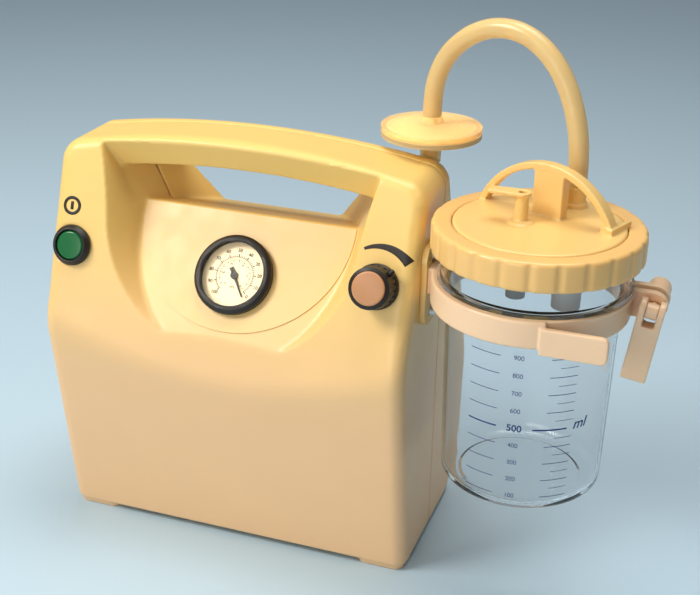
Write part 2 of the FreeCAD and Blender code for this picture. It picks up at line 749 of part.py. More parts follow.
def upper_face(x, z):
    """Where the upper front face is at a place across and up: its y, and its slope."""
    share = size(x) / (S.half_width + 1.0)
    crease = S.crease_mid + (S.crease_side - S.crease_mid) * share * share
    slope = (belly(crease) - S.front_top) / (S.loft_top - crease)
    return (size(z) - crease) * slope - belly(crease), slope


def seat(x, z):
    """The frame of a round seat let into the upper front face: its middle, and its lean."""
    y, slope = upper_face(x, z)
    long = root(1 + slope * slope)
    place = (x, y + S.seat_depth / long, z - S.seat_depth * slope / long)
    return place, lean_back(slope)


switch_place, switch_lean = seat(S.switch_x, S.switch_z)
knob_place, knob_lean = seat(S.knob_x, S.knob_z)
gauge_place = (0.0, -S.lip_back - (S.lip_height - S.gauge_z) * tangent(S.panel_tilt), S.gauge_z)
panel_lean = Size(90 - S.panel_tilt.value, "90 deg - Sizes.panel_tilt * 1 deg")


def seat_tools(name, place, lean, hole):
    """The thick shell behind a round seat, and the hole through it."""
    behind = turned(name + "_boss", [
        (0.0, -S.seat_wall), (S.seat_boss, -S.seat_wall), (S.seat_boss, 2.0), (0.0, 2.0)], place, None, lean)
    bore = turned(name + "_bore", [
        (0.0, -S.seat_wall * 2), (hole, -S.seat_wall * 2), (hole, 3.0), (0.0, 3.0)], place, None, lean)
    return behind, bore


def on_axis(place, lean, out):
    """A point on the axis of a leaning frame, out from the frame's middle."""
    angle = Size(lean.value, "(%s) / 1 deg" % lean.text)
    return (place[0], place[1] - out * sine(angle), place[2] + out * cosine(angle))


def both_sides(amount):
    """A place and its mirror image."""
    return (-size(amount), size(amount))


def case_screw_places():
    """Where the case screws are: x and height."""
    return [(x, z) for x in both_sides(S.screw_x) for z in (S.screw_low, S.screw_high)]


FOOT_INSET = 2.0


def foot(name, side, back):
    """A moulded foot under a corner of the case, fused to the shell's floor."""
    reach = S.base_half_depth - FOOT_INSET - S.foot_depth / 2
    x = (S.half_width - FOOT_INSET - S.foot_length / 2) * side
    y = reach * back
    return plate(name, rounded(S.foot_length, S.foot_depth, 7.0), S.foot_height + 0.5, (x, y, 0.0))


switch_boss, switch_bore = seat_tools("switch_seat", switch_place, switch_lean, S.switch_barrel + S.gap)
switch_face = pipe("switch_seat_face", S.switch_bezel + S.gap, 0.0, 12.0, switch_place, None, switch_lean)
knob_boss, knob_bore = seat_tools("knob_seat", knob_place, knob_lean, S.spindle_radius + 2 + S.gap)
plate_screws = [S.plate_low + 8, S.plate_top - 8]
front_bosses = [switch_boss, knob_boss]
front_tools = [scoop_out, switch_face, switch_bore, knob_bore]
for number, (x, z) in enumerate(case_screw_places()):
    front_bosses.append(rod("front_boss_%d" % number, (x, 0.0, z), "-y", S.screw_boss, 100.0))
    front_tools.append(rod("front_pilot_%d" % number, (x, 0.0, z), "-y", S.screw_radius, S.screw_length))
for number, z in enumerate(plate_screws):
    front_bosses.append(rod(
        "plate_boss_%d" % number, (S.half_width - 9, S.plate_y, z), "x", 6.0, 9.0))
    front_tools.append(rod(
        "plate_pilot_%d" % number, (S.half_width - 8, S.plate_y, z), "x", S.screw_radius, 20.0))
front_tools.append(turned("gauge_bore", [
    (0.0, -20.0), (S.gauge_cup + S.gap, -20.0), (S.gauge_cup + S.gap, 20.0), (0.0, 20.0)],
    gauge_place, None, panel_lean))
front_filled = common("front_filled", front_outer, fuse("front_inside", front_skin, *front_bosses))
front_feet = [foot("front_foot_left", -1, -1), foot("front_foot_right", 1, -1)]
front_whole = fuse("front_whole", front_filled, *front_feet)
front_shell = cut("front_shell", front_whole, fuse("front_cuts", *front_tools))
node("front_shell", front_shell)

rear_bosses = []
rear_tools = [grip_out]
for number, (x, z) in enumerate(case_screw_places()):
    rear_bosses.append(rod("rear_boss_%d" % number, (x, 0.0, z), "y", S.screw_boss, 100.0))
    rear_tools.append(rod("rear_hole_%d" % number, (x, -1.0, z), "y", S.screw_radius + S.gap, 20.0))
    rear_tools.append(rod("rear_well_%d" % number, (x, S.screw_web, z), "y", S.screw_head + 0.7, 100.0))
rear_bosses.append(box("inlet_wall", (S.inlet_x - S.inlet_wide / 2 - 5, S.inlet_floor - S.wall, 5.5), (
    S.inlet_x + S.inlet_wide / 2 + 5, 80.0, S.inlet_z + S.inlet_high / 2 + 5)))
rear_tools.append(box("inlet_recess", (
    S.inlet_x - S.inlet_wide / 2 - 2, S.inlet_floor, S.inlet_z - S.inlet_high / 2 - 2), (
    S.inlet_x + S.inlet_wide / 2 + 2, 90.0, S.inlet_z + S.inlet_high / 2 + 2)))
window_wide = S.inlet_wide / 2 - 2.5 + S.gap
window_high = S.inlet_high / 2 - 2.5 + S.gap
rear_tools.append(box("inlet_window", (
    S.inlet_x - window_wide, S.inlet_floor - 10, S.inlet_z - window_high), (
    S.inlet_x + window_wide, 60.0, S.inlet_z + window_high)))
SLOTS = 8
for number in range(SLOTS):
    rear_tools.append(plate("slot_%d" % number, rounded(S.slot_width, S.slot_height, 1.9), 60.0, (
        S.slot_x, S.base_half_depth - 15, S.slot_low + S.slot_pitch * number), FreeCAD.Rotation(
        FreeCAD.Vector(1, 0, 0), -90)))
spigot_low = S.spigot_seat - S.spigot_reach
rear_bosses.append(rod(
    "spigot_wall", (S.filter_x, S.filter_y, S.spigot_seat - 12), "z", S.spigot_radius + 7.4, 60.0))
rear_filled = common("rear_filled", rear_outer, fuse("rear_inside", rear_skin, *rear_bosses))
spigot_boss = rod("spigot_boss", (S.filter_x, S.filter_y, spigot_low + 7), "z", S.spigot_radius + 4,
                  S.spigot_reach - 7)
rear_tools.append(rod(
    "spigot_pocket", (S.filter_x, S.filter_y, S.spigot_seat), "z", S.spigot_radius + 4.2, 40.0))
rear_tools.append(rod(
    "spigot_bore", (S.filter_x, S.filter_y, 200.0), "z", S.spigot_radius + S.gap, 100.0))
rear_feet = [foot("rear_foot_left", -1, 1), foot("rear_foot_right", 1, 1)]
rear_shell = cut("rear_shell", fuse("rear_whole", rear_filled, spigot_boss, *rear_feet), fuse(
    "rear_cuts", *rear_tools))
node("rear_shell", rear_shell)


# Case screws, driven from the rear wells

def case_screw(name, x, z):
    return turned(name, [
        (0.0, -S.screw_length + 1), (S.screw_radius - 0.02, -S.screw_length + 1),
        (S.screw_radius - 0.02, S.screw_web), (S.screw_head, S.screw_web),
        (S.screw_head, S.screw_web + 2.2), (0.0, S.screw_web + 2.2)], (x, 0.0, z), REAR)


node("case_screws", *[
    case_screw("case_screw_%d" % number, x, z) for number, (x, z) in enumerate(case_screw_places())])


# Instrument panel and vacuum gauge, all in the panel's own frame about the gauge's axis

def label_outline():
    """The label: a round lower edge that meets a straight top under the lip."""
    centre = S.label_radius - S.label_low
    half = root(S.label_radius * S.label_radius - (S.label_high - centre) * (S.label_high - centre))
    return [(-half, S.label_high, S.label_radius, -1), (0.0, -S.label_low, S.label_radius, -1),
            (half, S.label_high)]


label_panel = plate("label_panel", label_outline(), S.label_thick, gauge_place, None, panel_lean,
                    [(S.gauge_cup + S.gap, 0.0, 0.0)])
node("label_panel", label_panel)


def on_panel(name, profile):
    return turned(name, profile, gauge_place, None, panel_lean)


def over_panel(rise):
    """The point of the gauge's axis that lies rise above the panel."""
    return (0.0, gauge_place[1] - rise * cosine(S.panel_tilt), S.gauge_z + rise * sine(S.panel_tilt))


rim = S.label_thick + 2.0
cup_wall = 1.6
gauge_case = on_panel("gauge_case", [
    (0.0, -S.gauge_depth), (S.gauge_cup, -S.gauge_depth), (S.gauge_cup, S.label_thick),
    (S.gauge_bezel - 0.5, S.label_thick), (S.gauge_bezel - 0.5, rim), (S.gauge_cup - cup_wall, rim),
    (S.gauge_cup - cup_wall, 2 - S.gauge_depth), (0.0, 2 - S.gauge_depth)])
barb = on_panel("gauge_barb", [
    (0.0, -S.gauge_depth - 11), (S.tube_bore, -S.gauge_depth - 11), (S.tube_bore, -S.gauge_depth - 2),
    (S.tube_radius, -S.gauge_depth - 2), (S.tube_radius, -S.gauge_depth), (0.0, -S.gauge_depth)])
node("gauge_case", fuse("gauge_housing", gauge_case, barb))
glass_low = S.gauge_rise - 2.8
node("gauge_bezel", on_panel("gauge_ring", [
    (S.gauge_glass - 1, rim), (S.gauge_bezel, rim), (S.gauge_bezel, S.gauge_rise - 2),
    (S.gauge_bezel - 2, S.gauge_rise), (S.gauge_window, S.gauge_rise), (S.gauge_window, S.gauge_rise - 1.2),
    (S.gauge_glass, S.gauge_rise - 1.2), (S.gauge_glass, glass_low), (S.gauge_glass - 1, glass_low)]))
node("gauge_glass", on_panel("gauge_pane", [
    (0.0, glass_low), (S.gauge_glass, glass_low), (S.gauge_glass, S.gauge_rise - 1.2),
    (0.0, S.gauge_rise - 1.2)]))
pointer_axle = 0.8
movement_bore = S.fit + pointer_axle
node("gauge_movement", on_panel("gauge_works", [
    (movement_bore, 2 - S.gauge_depth), (14.0, 2 - S.gauge_depth), (14.0, -8.0), (9.0, -8.0),
    (9.0, S.dial_rise), (movement_bore, S.dial_rise)]))
node("gauge_dial", plate("gauge_dial_disc", [], 0.8, over_panel(S.dial_rise), None, panel_lean, [
    (S.gauge_cup - cup_wall - 0.1, 0.0, 0.0), (2.0, 0.0, 0.0)]))


def needle_outline():
    """The pointer: a slim needle with a short broad tail, turned to where it rests."""
    across, along = sine(S.pointer_rest), cosine(S.pointer_rest)

    def spot(out, aside):
        return (size(out) * along - size(aside) * across, size(out) * across + size(aside) * along)
    return [spot(S.pointer_length, -0.3), spot(S.pointer_length, 0.3), spot(0.0, 0.9),
            spot(-6.0, 1.6), spot(-6.0, -1.6), spot(0.0, -0.9)]


needle_rise = S.dial_rise + 1.6
needle = plate("pointer_needle", needle_outline(), 0.6, over_panel(needle_rise), None, panel_lean)
axle = on_panel("pointer_axle", [
    (0.0, -8.0), (pointer_axle, -8.0), (pointer_axle, needle_rise), (2.6, needle_rise),
    (2.6, needle_rise + 1), (0.0, needle_rise + 1)])
node("gauge_pointer", fuse("pointer", needle, axle))


# Power switch, about its own axis in the left of the upper front

def at_switch(name, profile):
    return turned(name, profile, switch_place, None, switch_lean)


barrel_bore = S.button_radius + S.gap
floor_low = 2 - S.switch_depth
node("switch_bezel", at_switch("switch_body", [
    (4.5, -S.switch_depth), (S.switch_barrel, -S.switch_depth), (S.switch_barrel, 0.0),
    (S.switch_bezel, 0.0), (S.switch_bezel, 2.0), (S.switch_bezel - 2.2, S.switch_rise),
    (barrel_bore + 0.5, S.switch_rise), (barrel_bore, S.switch_rise - 1), (barrel_bore, floor_low),
    (4.5, floor_low)]))
node("switch_nut", plate(
    "switch_ring_nut", [], 3.0, on_axis(switch_place, switch_lean, -S.seat_wall - 3), None, switch_lean,
    [(S.switch_barrel + 1.8, 0.0, 0.0), (S.switch_barrel + S.fit, 0.0, 0.0)]))
stem_end = S.button_travel - S.switch_depth + 0.5
node("power_button", at_switch("power_cap", [
    (0.0, stem_end), (4.0, stem_end), (4.0, -4.0), (S.button_radius, -4.0),
    (S.button_radius, S.button_rise - 1), (S.button_radius - 1.2, S.button_rise),
    (0.0, S.button_rise + 0.4)]))
block_low = S.switch_depth + 14
node("switch_block", at_switch("switch_contacts", [
    (0.0, -block_low), (9.0, -block_low), (9.0, -S.switch_depth), (0.0, -S.switch_depth)]))


# Vacuum regulator, about its own axis in the right of the upper front

def at_knob(name, profile):
    return turned(name, profile, knob_place, None, knob_lean)


nut_low = 1.7
knob_low = nut_low + 0.8
knob_top = knob_low + S.knob_height
knob_form = at_knob("knob_form", [
    (S.spindle_radius + 6, knob_low), (S.knob_radius + 0.8, knob_low), (S.knob_radius + 0.8, knob_low + 2.5),
    (S.knob_radius, knob_low + 3.5), (S.knob_radius - 0.6, knob_top - 2),
    (S.knob_cap + 0.3, knob_top - 0.8), (S.knob_cap + 0.3, knob_top - 2.4),
    (S.spindle_radius, knob_top - 2.4),
    (S.spindle_radius, knob_low + 4), (S.spindle_radius + 6, knob_low + 4)])
FLUTES = 22
flute_tools = []
flute_reach = S.knob_radius + 0.25
for number in range(FLUTES):
    turn = 2 * math.pi * number / FLUTES
    flute_tools.append((0.9, flute_reach * math.cos(turn), flute_reach * math.sin(turn)))
flutes = plate("knob_flutes", [], S.knob_height, on_axis(knob_place, knob_lean, knob_low + 4),
               None, knob_lean, flute_tools)
node("regulator_knob", cut("fluted_knob", knob_form, flutes))
node("knob_cap", at_knob("knob_disc", [
    (0.0, knob_top - 2.4), (S.knob_cap, knob_top - 2.4), (S.knob_cap, knob_top - 0.6),
    (S.knob_cap - 0.8, knob_top), (0.0, knob_top)]))
node("regulator_spindle", at_knob("spindle", [
    (0.0, -12.0), (S.spindle_radius, -12.0), (S.spindle_radius, knob_top - 2.4), (0.0, knob_top - 2.4)]))
neck = S.spindle_radius + 2
neck_bore = S.spindle_radius + S.fit
valve_end = S.seat_wall + S.valve_depth
node("regulator_valve", at_knob("valve_body", [
    (0.0, -valve_end - 11), (S.tube_bore, -valve_end - 11), (S.tube_bore, -valve_end - 2),
    (S.tube_radius, -valve_end - 2), (S.tube_radius, -valve_end), (S.valve_radius, -valve_end),
    (S.valve_radius, -S.seat_wall), (neck, -S.seat_wall), (neck, nut_low + 2.8), (neck_bore, nut_low + 2.8),
    (neck_bore, -13.0), (0.0, -13.0)]))
node("regulator_nut", plate("valve_nut", hexagon(neck + 3), 2.4, on_axis(knob_place, knob_lean, nut_low),
                            None, knob_lean, [(neck + S.fit, 0.0, 0.0)]))


# Holder: a plate on the case's side, and the clamp ring that carries the jar

jar_axis = (S.jar_x, S.jar_y, 0.0)
plate_middle = (S.plate_low + S.plate_top) / 2
plate_high = S.plate_top - S.plate_low
node("holder_plate", plate("holder_back", rounded(plate_high, S.plate_half * 2, 10.0), S.plate_thick, (
    S.half_width, S.plate_y, plate_middle), RIGHT, None,
    [(S.screw_radius + 0.2, sign * (plate_high / 2 - 8), 0.0) for sign in (-1, 1)]))
node("holder_screws", *[turned("holder_screw_%d" % number, [
    (0.0, -8.0), (S.screw_radius - 0.02, -8.0), (S.screw_radius - 0.02, S.plate_thick),
    (4.0, S.plate_thick), (3.2, S.plate_thick + 2.2), (0.0, S.plate_thick + 2.2)],
    (S.half_width, S.plate_y, z), RIGHT) for number, z in enumerate(plate_screws)])

band_outer = S.band_bore + S.band_wall
band_full = S.band_bore + S.band_thick
thin_ring = turned("band_ring", [
    (S.band_bore, S.band_low), (band_outer, S.band_low), (band_outer, S.band_top - 2.5),
    (band_outer + 1.6, S.band_top - 1.6), (band_outer + 1.6, S.band_top),
    (S.band_bore, S.band_top)], jar_axis)
thick_ring = turned("band_sleeve", [
    (S.band_bore, S.band_low), (band_full - 1, S.band_low), (band_full, S.band_low + 1),
    (band_full, S.band_top - 1), (band_full - 1, S.band_top), (S.band_bore, S.band_top)], jar_axis)
step_x, step_y = cosine(S.band_step) * 90, sine(S.band_step) * 90
thick_side = plate("band_side", [
    (0.0, 0.0), (step_x, step_y), (-90.0, step_y), (-90.0, 90.0), (-40.0, 90.0)], 60.0, (
    S.jar_x, S.jar_y, S.band_low - 20))
lug_high = S.band_top - S.band_low
lug_radius = lug_high / 2 - 0.02
lug_middle = (S.band_low + S.band_top) / 2


def lug(name, y):
    """A clamp lug: flat, with a round end, standing out from the split ring."""
    start = S.band_bore + 1.2
    return plate(name, [
        (start, -lug_radius), (S.lug_end - lug_radius, -lug_radius, lug_radius, -1),
        (S.lug_end, 0.0, lug_radius, -1), (S.lug_end - lug_radius, lug_radius), (start, lug_radius)],
        S.lug_thick, (S.jar_x, y + S.lug_thick, lug_middle), FRONT, None,
        [(S.bolt_radius + 0.2, S.bolt_x, 0.0)])


rear_lug = S.lug_front + S.lug_thick + S.lug_split
tab_root = cosine(S.band_step) * S.band_bore
tab_high = S.tab_top - S.tab_low
tab = plate("band_tab", [
    (tab_root - 1.0, -tab_high / 2), (S.tab_end - 4, -tab_high / 2, 4.0, -1), (S.tab_end, 4 - tab_high / 2),
    (S.tab_end, tab_high / 2 - 4, 4.0, -1), (S.tab_end - 4, tab_high / 2), (tab_root - 1.0, tab_high / 2)],
    S.tab_thick, (S.jar_x, S.jar_y - S.tab_front + S.tab_thick, (S.tab_low + S.tab_top) / 2), FRONT)
block = box("band_block", (S.half_width + S.plate_thick, S.plate_y - S.plate_half + 2, S.band_low), (
    S.jar_x - S.band_bore - 2.5, S.plate_y + S.plate_half - 2, S.band_top))
split = box("band_split", (S.jar_x + S.band_bore - 12, S.jar_y + S.lug_front + S.lug_thick, S.band_low - 9), (
    S.jar_x + S.band_bore + 8, S.jar_y + rear_lug, S.band_top + 9))
band_bore = rod("band_bore", (S.jar_x, S.jar_y, S.band_low - 9), "z", S.band_bore, 40.0)
node("holder_band", cut("clamp_ring", fuse(
    "band_whole", thin_ring, common("band_arc", thick_ring, thick_side), block, tab,
    lug("front_lug", S.jar_y + S.lug_front), lug("rear_lug", S.jar_y + rear_lug)),
    fuse("band_cuts", split, band_bore)))

# The clamp: bolt, nut, and a cam lever on a pin across the bolt's eye
pin_y = S.jar_y + S.lug_front - S.gap - S.cam_radius
bolt_spot = (S.jar_x + S.bolt_x, pin_y, lug_middle)
tilted = FreeCAD.Rotation(FreeCAD.Vector(0, 1, 0), S.lever_tilt.value)
bolt_end = S.jar_y + rear_lug + S.lug_thick + S.nut_length - 3
bolt = rod("bolt_shank", (bolt_spot[0], pin_y + 3.5, lug_middle), "y", S.bolt_radius, bolt_end - pin_y - 3.5)
eye_width = 7.0
eye = plate("bolt_eye", [], eye_width, (
    bolt_spot[0] - eye_width / 2 * cosine(S.lever_tilt), pin_y,
    lug_middle + eye_width / 2 * sine(S.lever_tilt)),
    tilted.multiply(RIGHT), None, [(5.0, 0.0, 0.0)])
eye_hole = plate("eye_hole", [], 12.0, (
    bolt_spot[0] - 6 * cosine(S.lever_tilt), pin_y, lug_middle + 6 * sine(S.lever_tilt)),
    tilted.multiply(RIGHT), None, [(S.pin_radius + S.fit, 0.0, 0.0)])
node("clamp_bolt", cut("eye_bolt", fuse("bolt_form", bolt, eye), eye_hole))
node("clamp_nut", turned("barrel_nut", [
    (S.bolt_radius + 0.02, 0.0), (S.nut_radius, 0.0), (S.nut_radius, S.nut_length - 4, 4.0, -1),
    (S.nut_radius - 4, S.nut_length), (0.0, S.nut_length), (0.0, S.nut_length - 3),
    (S.bolt_radius + 0.02, S.nut_length - 3)], (
    S.jar_x + S.bolt_x, S.jar_y + rear_lug + S.lug_thick, lug_middle), REAR))
half = S.lever_width / 2


def lever_piece(name, points, thick, offset, holes=()):
    """A slice of the lever, cut square to the pin, from its side view (down, ahead)."""
    return plate(name, points, thick, (
        bolt_spot[0] + offset * cosine(S.lever_tilt), pin_y, lug_middle - offset * sine(S.lever_tilt)),
        tilted.multiply(RIGHT), None, holes)


bar_front = 1.5 - S.lever_thick
lever_side = [
    (0.0, -S.cam_radius, S.cam_radius, 1), (-S.cam_radius, 0.0, S.cam_radius, 1), (0.0, S.cam_radius),
    (6.0, S.cam_radius - 1), (18.0, 1.5),
    (S.lever_drop - 2, 0.5), (S.lever_drop, -1.0), (S.lever_drop - 1, bar_front), (20.0, bar_front)]
lever_form = lever_piece("lever_form", lever_side, S.lever_width, -half)
lever_gap = lever_piece("lever_gap", [
    (-12.0, -12.0), (9.0, -12.0), (9.0, 12.0), (-12.0, 12.0)], eye_width + 2 * S.gap, -eye_width / 2 - S.gap)
lever_bore = lever_piece("lever_bore", [], S.lever_width + 2, -half - 1, [(S.pin_radius + 0.02, 0.0, 0.0)])
node("clamp_lever", cut("cam_lever", lever_form, fuse("lever_cuts", lever_gap, lever_bore)))
node("clamp_pin", lever_piece("lever_pin", [], S.lever_width, -half, [(S.pin_radius, 0.0, 0.0)]))


# Jar: moulded clear plastic, a shoulder that sits on the ring

jar_seat = S.band_top + S.gap
jar_top_radius = S.jar_radius + S.jar_taper * (jar_seat - S.jar_bottom)
inner = S.jar_radius - S.jar_wall
floor = S.jar_bottom + S.jar_wall
node("jar", turned("jar_form", [
    (0.0, S.jar_bottom + 1.2), (S.jar_radius - 14, S.jar_bottom + 1.2), (S.jar_radius - 12, S.jar_bottom),
    (S.jar_radius - S.jar_corner, S.jar_bottom, S.jar_corner, -1),
    (S.jar_radius, S.jar_bottom + S.jar_corner), (jar_top_radius, jar_seat), (S.jar_bead, jar_seat),
    (S.jar_bead, jar_seat + 3), (S.jar_neck, jar_seat + 4.5), (S.jar_neck, S.jar_rim),
    (S.jar_neck - S.jar_wall, S.jar_rim), (S.jar_neck - S.jar_wall, jar_seat + 3),
    (jar_top_radius - S.jar_wall, jar_seat - 1), (inner, floor + S.jar_corner, S.jar_corner, 1),
    (inner - S.jar_corner, floor), (0.0, floor)], jar_axis))


# Lid: a cover with ports and an arch, held down by a screw ring over a gasket

cover_flange_top = S.cover_seat + S.cover_flange_thick
cover_top = S.lid_top + 0.3
cover = turned("cover_disc", [
    (0.0, cover_flange_top), (S.lid_window - 3, cover_flange_top), (S.lid_window - 1, S.cover_seat),
    (S.cover_flange, S.cover_seat), (S.cover_flange, cover_flange_top),
    (S.lid_window - S.gap, cover_flange_top), (S.lid_window - S.gap, cover_top - 0.8),
    (S.lid_window - S.gap - 0.8, cover_top), (0.0, cover_top)], jar_axis)
patient_axis = (S.jar_x + S.port_x, S.jar_y + S.port_y, 0.0)
vacuum_axis = (S.jar_x + S.vacuum_x, S.jar_y + S.vacuum_y, 0.0)
patient = turned("patient_port", [
    (0.0, cover_flange_top - 12), (S.port_radius, cover_flange_top - 12),
    (S.port_radius, cover_flange_top + 1),
    (S.port_radius + 3.4, cover_flange_top + 1), (S.port_radius + 3.4, cover_top + 1.2),
    (S.port_radius, cover_top + 1.6), (S.port_radius, S.port_top - 3), (5.6, S.port_top - 2),
    (5.6, S.port_top), (0.0, S.port_top)], patient_axis)
tongue = plate("port_tongue", [
    (0.0, -5.6), (0.0, 5.6), (-21.0, 5.0), (-21.0, -4.4)], 2.2, (
    S.jar_x + S.port_x, S.jar_y + S.port_y, S.port_top - 2.2))
vacuum = turned("vacuum_port", [
    (0.0, cover_flange_top + 1), (8.0, cover_flange_top + 1), (8.0, cover_top + 3), (6.6, cover_top + 4),
    (6.6, S.vacuum_step), (S.hose_bore - 0.1, S.vacuum_step), (S.hose_bore - 0.1, S.vacuum_step + 11),
    (S.hose_bore - 1, S.vacuum_step + 12), (0.0, S.vacuum_step + 12)], vacuum_axis)
arch_rise = S.arch_peak - cover_top
arch_radius = (S.arch_half * S.arch_half + arch_rise * arch_rise) / (2 * arch_rise)
arch_turn = FreeCAD.Rotation(FreeCAD.Vector(0, 0, 1), S.arch_angle.value).multiply(FRONT)


def on_arch(name, points, thick, along=0.0):
    """A piece of the arch from its outline in the arch's own upright plane (along, height)."""
    return plate(name, points, thick, (
        S.jar_x + S.arch_x - sine(S.arch_angle) * thick / 2 + cosine(S.arch_angle) * along,
        S.jar_y + S.arch_y + cosine(S.arch_angle) * thick / 2 + sine(S.arch_angle) * along, 0.0), arch_turn)


inner_radius = arch_radius - S.arch_thick
arch_centre = S.arch_peak - arch_radius
inner_half = root(inner_radius * inner_radius - (cover_top - arch_centre) * (cover_top - arch_centre))
arch = on_arch("arch_ribbon", [
    (S.arch_half, cover_top - 0.2), (S.arch_half, cover_top, arch_radius, -1),
    (-S.arch_half, cover_top), (-S.arch_half, cover_top - 0.2), (-inner_half, cover_top - 0.2),
    (-inner_half, cover_top, inner_radius, 1), (inner_half, cover_top), (inner_half, cover_top - 0.2)],
    S.arch_width)
web_top = arch_centre + root(inner_radius * inner_radius - 15 * 15) + 1
web = on_arch("arch_web", [
    (-9.0, cover_top - 0.2), (12.0, cover_top - 0.2), (12.0, web_top), (-9.0, web_top)], S.arch_width)
flare = plate("arch_flare", [
    (0.0, -S.arch_width / 2), (9.0, -S.arch_width / 2 - 2), (9.0, S.arch_width / 2 + 15),
    (4.0, S.arch_width / 2 + 8), (0.0, S.arch_width / 2)], 4.0, (
    S.jar_x + S.arch_x + cosine(S.arch_angle) * (S.arch_half - 9),
    S.jar_y + S.arch_y + sine(S.arch_angle) * (S.arch_half - 9), cover_top - 0.2),
    FreeCAD.Rotation(FreeCAD.Vector(0, 0, 1), S.arch_angle.value))
patient_bore = rod("patient_bore", (patient_axis[0], patient_axis[1], 200.0), "z", S.port_bore, 120.0)
vacuum_bore = rod("vacuum_bore", (vacuum_axis[0], vacuum_axis[1], 200.0), "z", S.port_bore + 0.4, 120.0)
node("lid_cover", cut("cover", fuse("cover_whole", cover, patient, tongue, vacuum, arch, web, flare), fuse(
    "cover_bores", patient_bore, vacuum_bore)))
node("lid_gasket", turned("gasket", [
    (S.jar_neck - S.jar_wall + 0.2, S.jar_rim + S.gap), (S.jar_neck, S.jar_rim + S.gap),
    (S.jar_neck, S.cover_seat), (S.jar_neck - S.jar_wall + 0.2, S.cover_seat)], jar_axis))

ring_blank = turned("ring_blank", [
    (S.lid_bore, S.lid_low), (S.lid_radius - 0.6, S.lid_low), (S.lid_radius, S.lid_low + 0.8),
    (S.lid_radius, S.lid_top - 2.4, 2.4, -1), (S.lid_radius - 2.4, S.lid_top),
    (S.lid_window, S.lid_top), (S.lid_window, cover_flange_top + S.gap),
    (S.lid_bore, cover_flange_top + S.gap)],
    jar_axis)
notches = int(S.grip_notches.value)
notch_reach = S.lid_radius + S.notch_radius - 1.3
notch_tools = []
for number in range(notches):
    turn = 360.0 * (number + 0.5) / notches
    notch_tools.append((S.notch_radius, notch_reach * cosine(turn), notch_reach * sine(turn)))
ring_notches = plate("ring_notches", [], 40.0, (S.jar_x, S.jar_y, S.lid_low - 10), None, None, notch_tools)
node("lid_ring", cut("screw_ring", ring_blank, ring_notches))

cage_wall = 1.8
cage_form = turned("cage_form", [
    (3.5, S.cage_low), (S.cage_radius, S.cage_low), (S.cage_radius, cover_flange_top),
    (S.cage_radius - cage_wall, cover_flange_top), (S.cage_radius - cage_wall, S.cage_low + 2),
    (3.5, S.cage_low + 2)], vacuum_axis)
cage_window = []
for number, (wide_x, wide_y) in enumerate(((2.6, 20.0), (20.0, 2.6))):
    cage_window.append(box("cage_window_%d" % number, (
        vacuum_axis[0] - wide_x, vacuum_axis[1] - wide_y, S.cage_low + 5), (
        vacuum_axis[0] + wide_x, vacuum_axis[1] + wide_y, cover_flange_top - 8)))
node("float_cage", cut("cage", cage_form, fuse("cage_windows", *cage_window)))
ball_low = S.cage_low + 2 + S.gap
node("float_ball", turned("ball", [
    (0.0, ball_low, S.ball_radius, -1), (S.ball_radius, ball_low + S.ball_radius, S.ball_radius, -1),
    (0.0, ball_low + S.ball_radius * 2)], vacuum_axis))


# Filter on the rear shell's spigot, and the hose from the filter to the lid

spigot_axis = (S.filter_x, S.filter_y, 0.0)
spigot = turned("spigot_form", [
    (S.tube_bore, spigot_low), (S.spigot_radius, spigot_low), (S.spigot_radius, S.spigot_seat),
    (S.spigot_radius + 3.5, S.spigot_seat), (S.spigot_radius + 3.5, S.spigot_seat + 3),
    (S.spigot_radius, S.spigot_seat + 4), (S.spigot_radius - 0.4, S.spigot_top),
    (S.tube_bore, S.spigot_top)], spigot_axis)
node("inlet_spigot", spigot)
node("spigot_nut", plate("spigot_hex", hexagon(S.spigot_radius + 4), 3.0, (
    S.filter_x, S.filter_y, spigot_low + 4), None, None, [(S.spigot_radius + S.fit, 0.0, 0.0)]))
shell = 1.4
low, mid, high = S.filter_mid - S.filter_half, S.filter_mid, S.filter_mid + S.filter_half
node("filter_lower", turned("filter_dish_low", [
    (S.spigot_radius + S.fit, S.spigot_top - 8), (S.spigot_radius + 2, S.spigot_top - 8),
    (S.spigot_radius + 2.4, low - 2.5), (S.filter_radius - 3, low), (S.filter_radius, low),
    (S.filter_radius, mid - 0.2), (S.filter_radius - 4, mid - 0.2), (S.filter_radius - 4, low + shell),
    (S.spigot_radius + 3, low - 1.0), (S.tube_bore, low - 1.0), (S.tube_bore, S.spigot_top + 0.1),
    (S.spigot_radius + S.fit, S.spigot_top + 0.1)], spigot_axis))
node("filter_membrane", plate("filter_paper", [], 0.4, (S.filter_x, S.filter_y, mid - 0.2), None, None,
                              [(S.filter_radius - 0.5, 0.0, 0.0)]))
hub_radius = S.hose_radius + 0.6
nipple = S.hose_bore - S.gap - 0.1
node("filter_upper", turned("filter_dish_high", [
    (S.filter_radius - 4, mid + 0.2), (S.filter_radius, mid + 0.2), (S.filter_radius, high),
    (S.filter_radius - 3, high), (hub_radius + 1, high + 2.5), (hub_radius, S.filter_top - 0.6),
    (hub_radius - 0.6, S.filter_top), (nipple, S.filter_top), (nipple, S.filter_top + 10),
    (nipple - 0.6, S.filter_top + 11), (S.tube_bore, S.filter_top + 11), (S.tube_bore, high + 1.0),
    (S.filter_radius - 4, high - shell)], spigot_axis))

HOSE_ROUTE = [
    (111.0, 28.0, S.filter_top.value + S.gap.value), (111.0, 28.0, 318.0), (114.0, 27.0, 334.0),
    (122.5, 24.0, 350.0), (137.5, 19.5, 363.5), (156.0, 14.0, 370.5), (176.0, 8.0, 368.5),
    (194.0, 3.0, 356.0), (206.5, -0.5, 336.5), (213.5, -3.0, 315.0), (215.9, -4.0, 296.5),
    (215.9, -4.0, S.vacuum_step.value)]


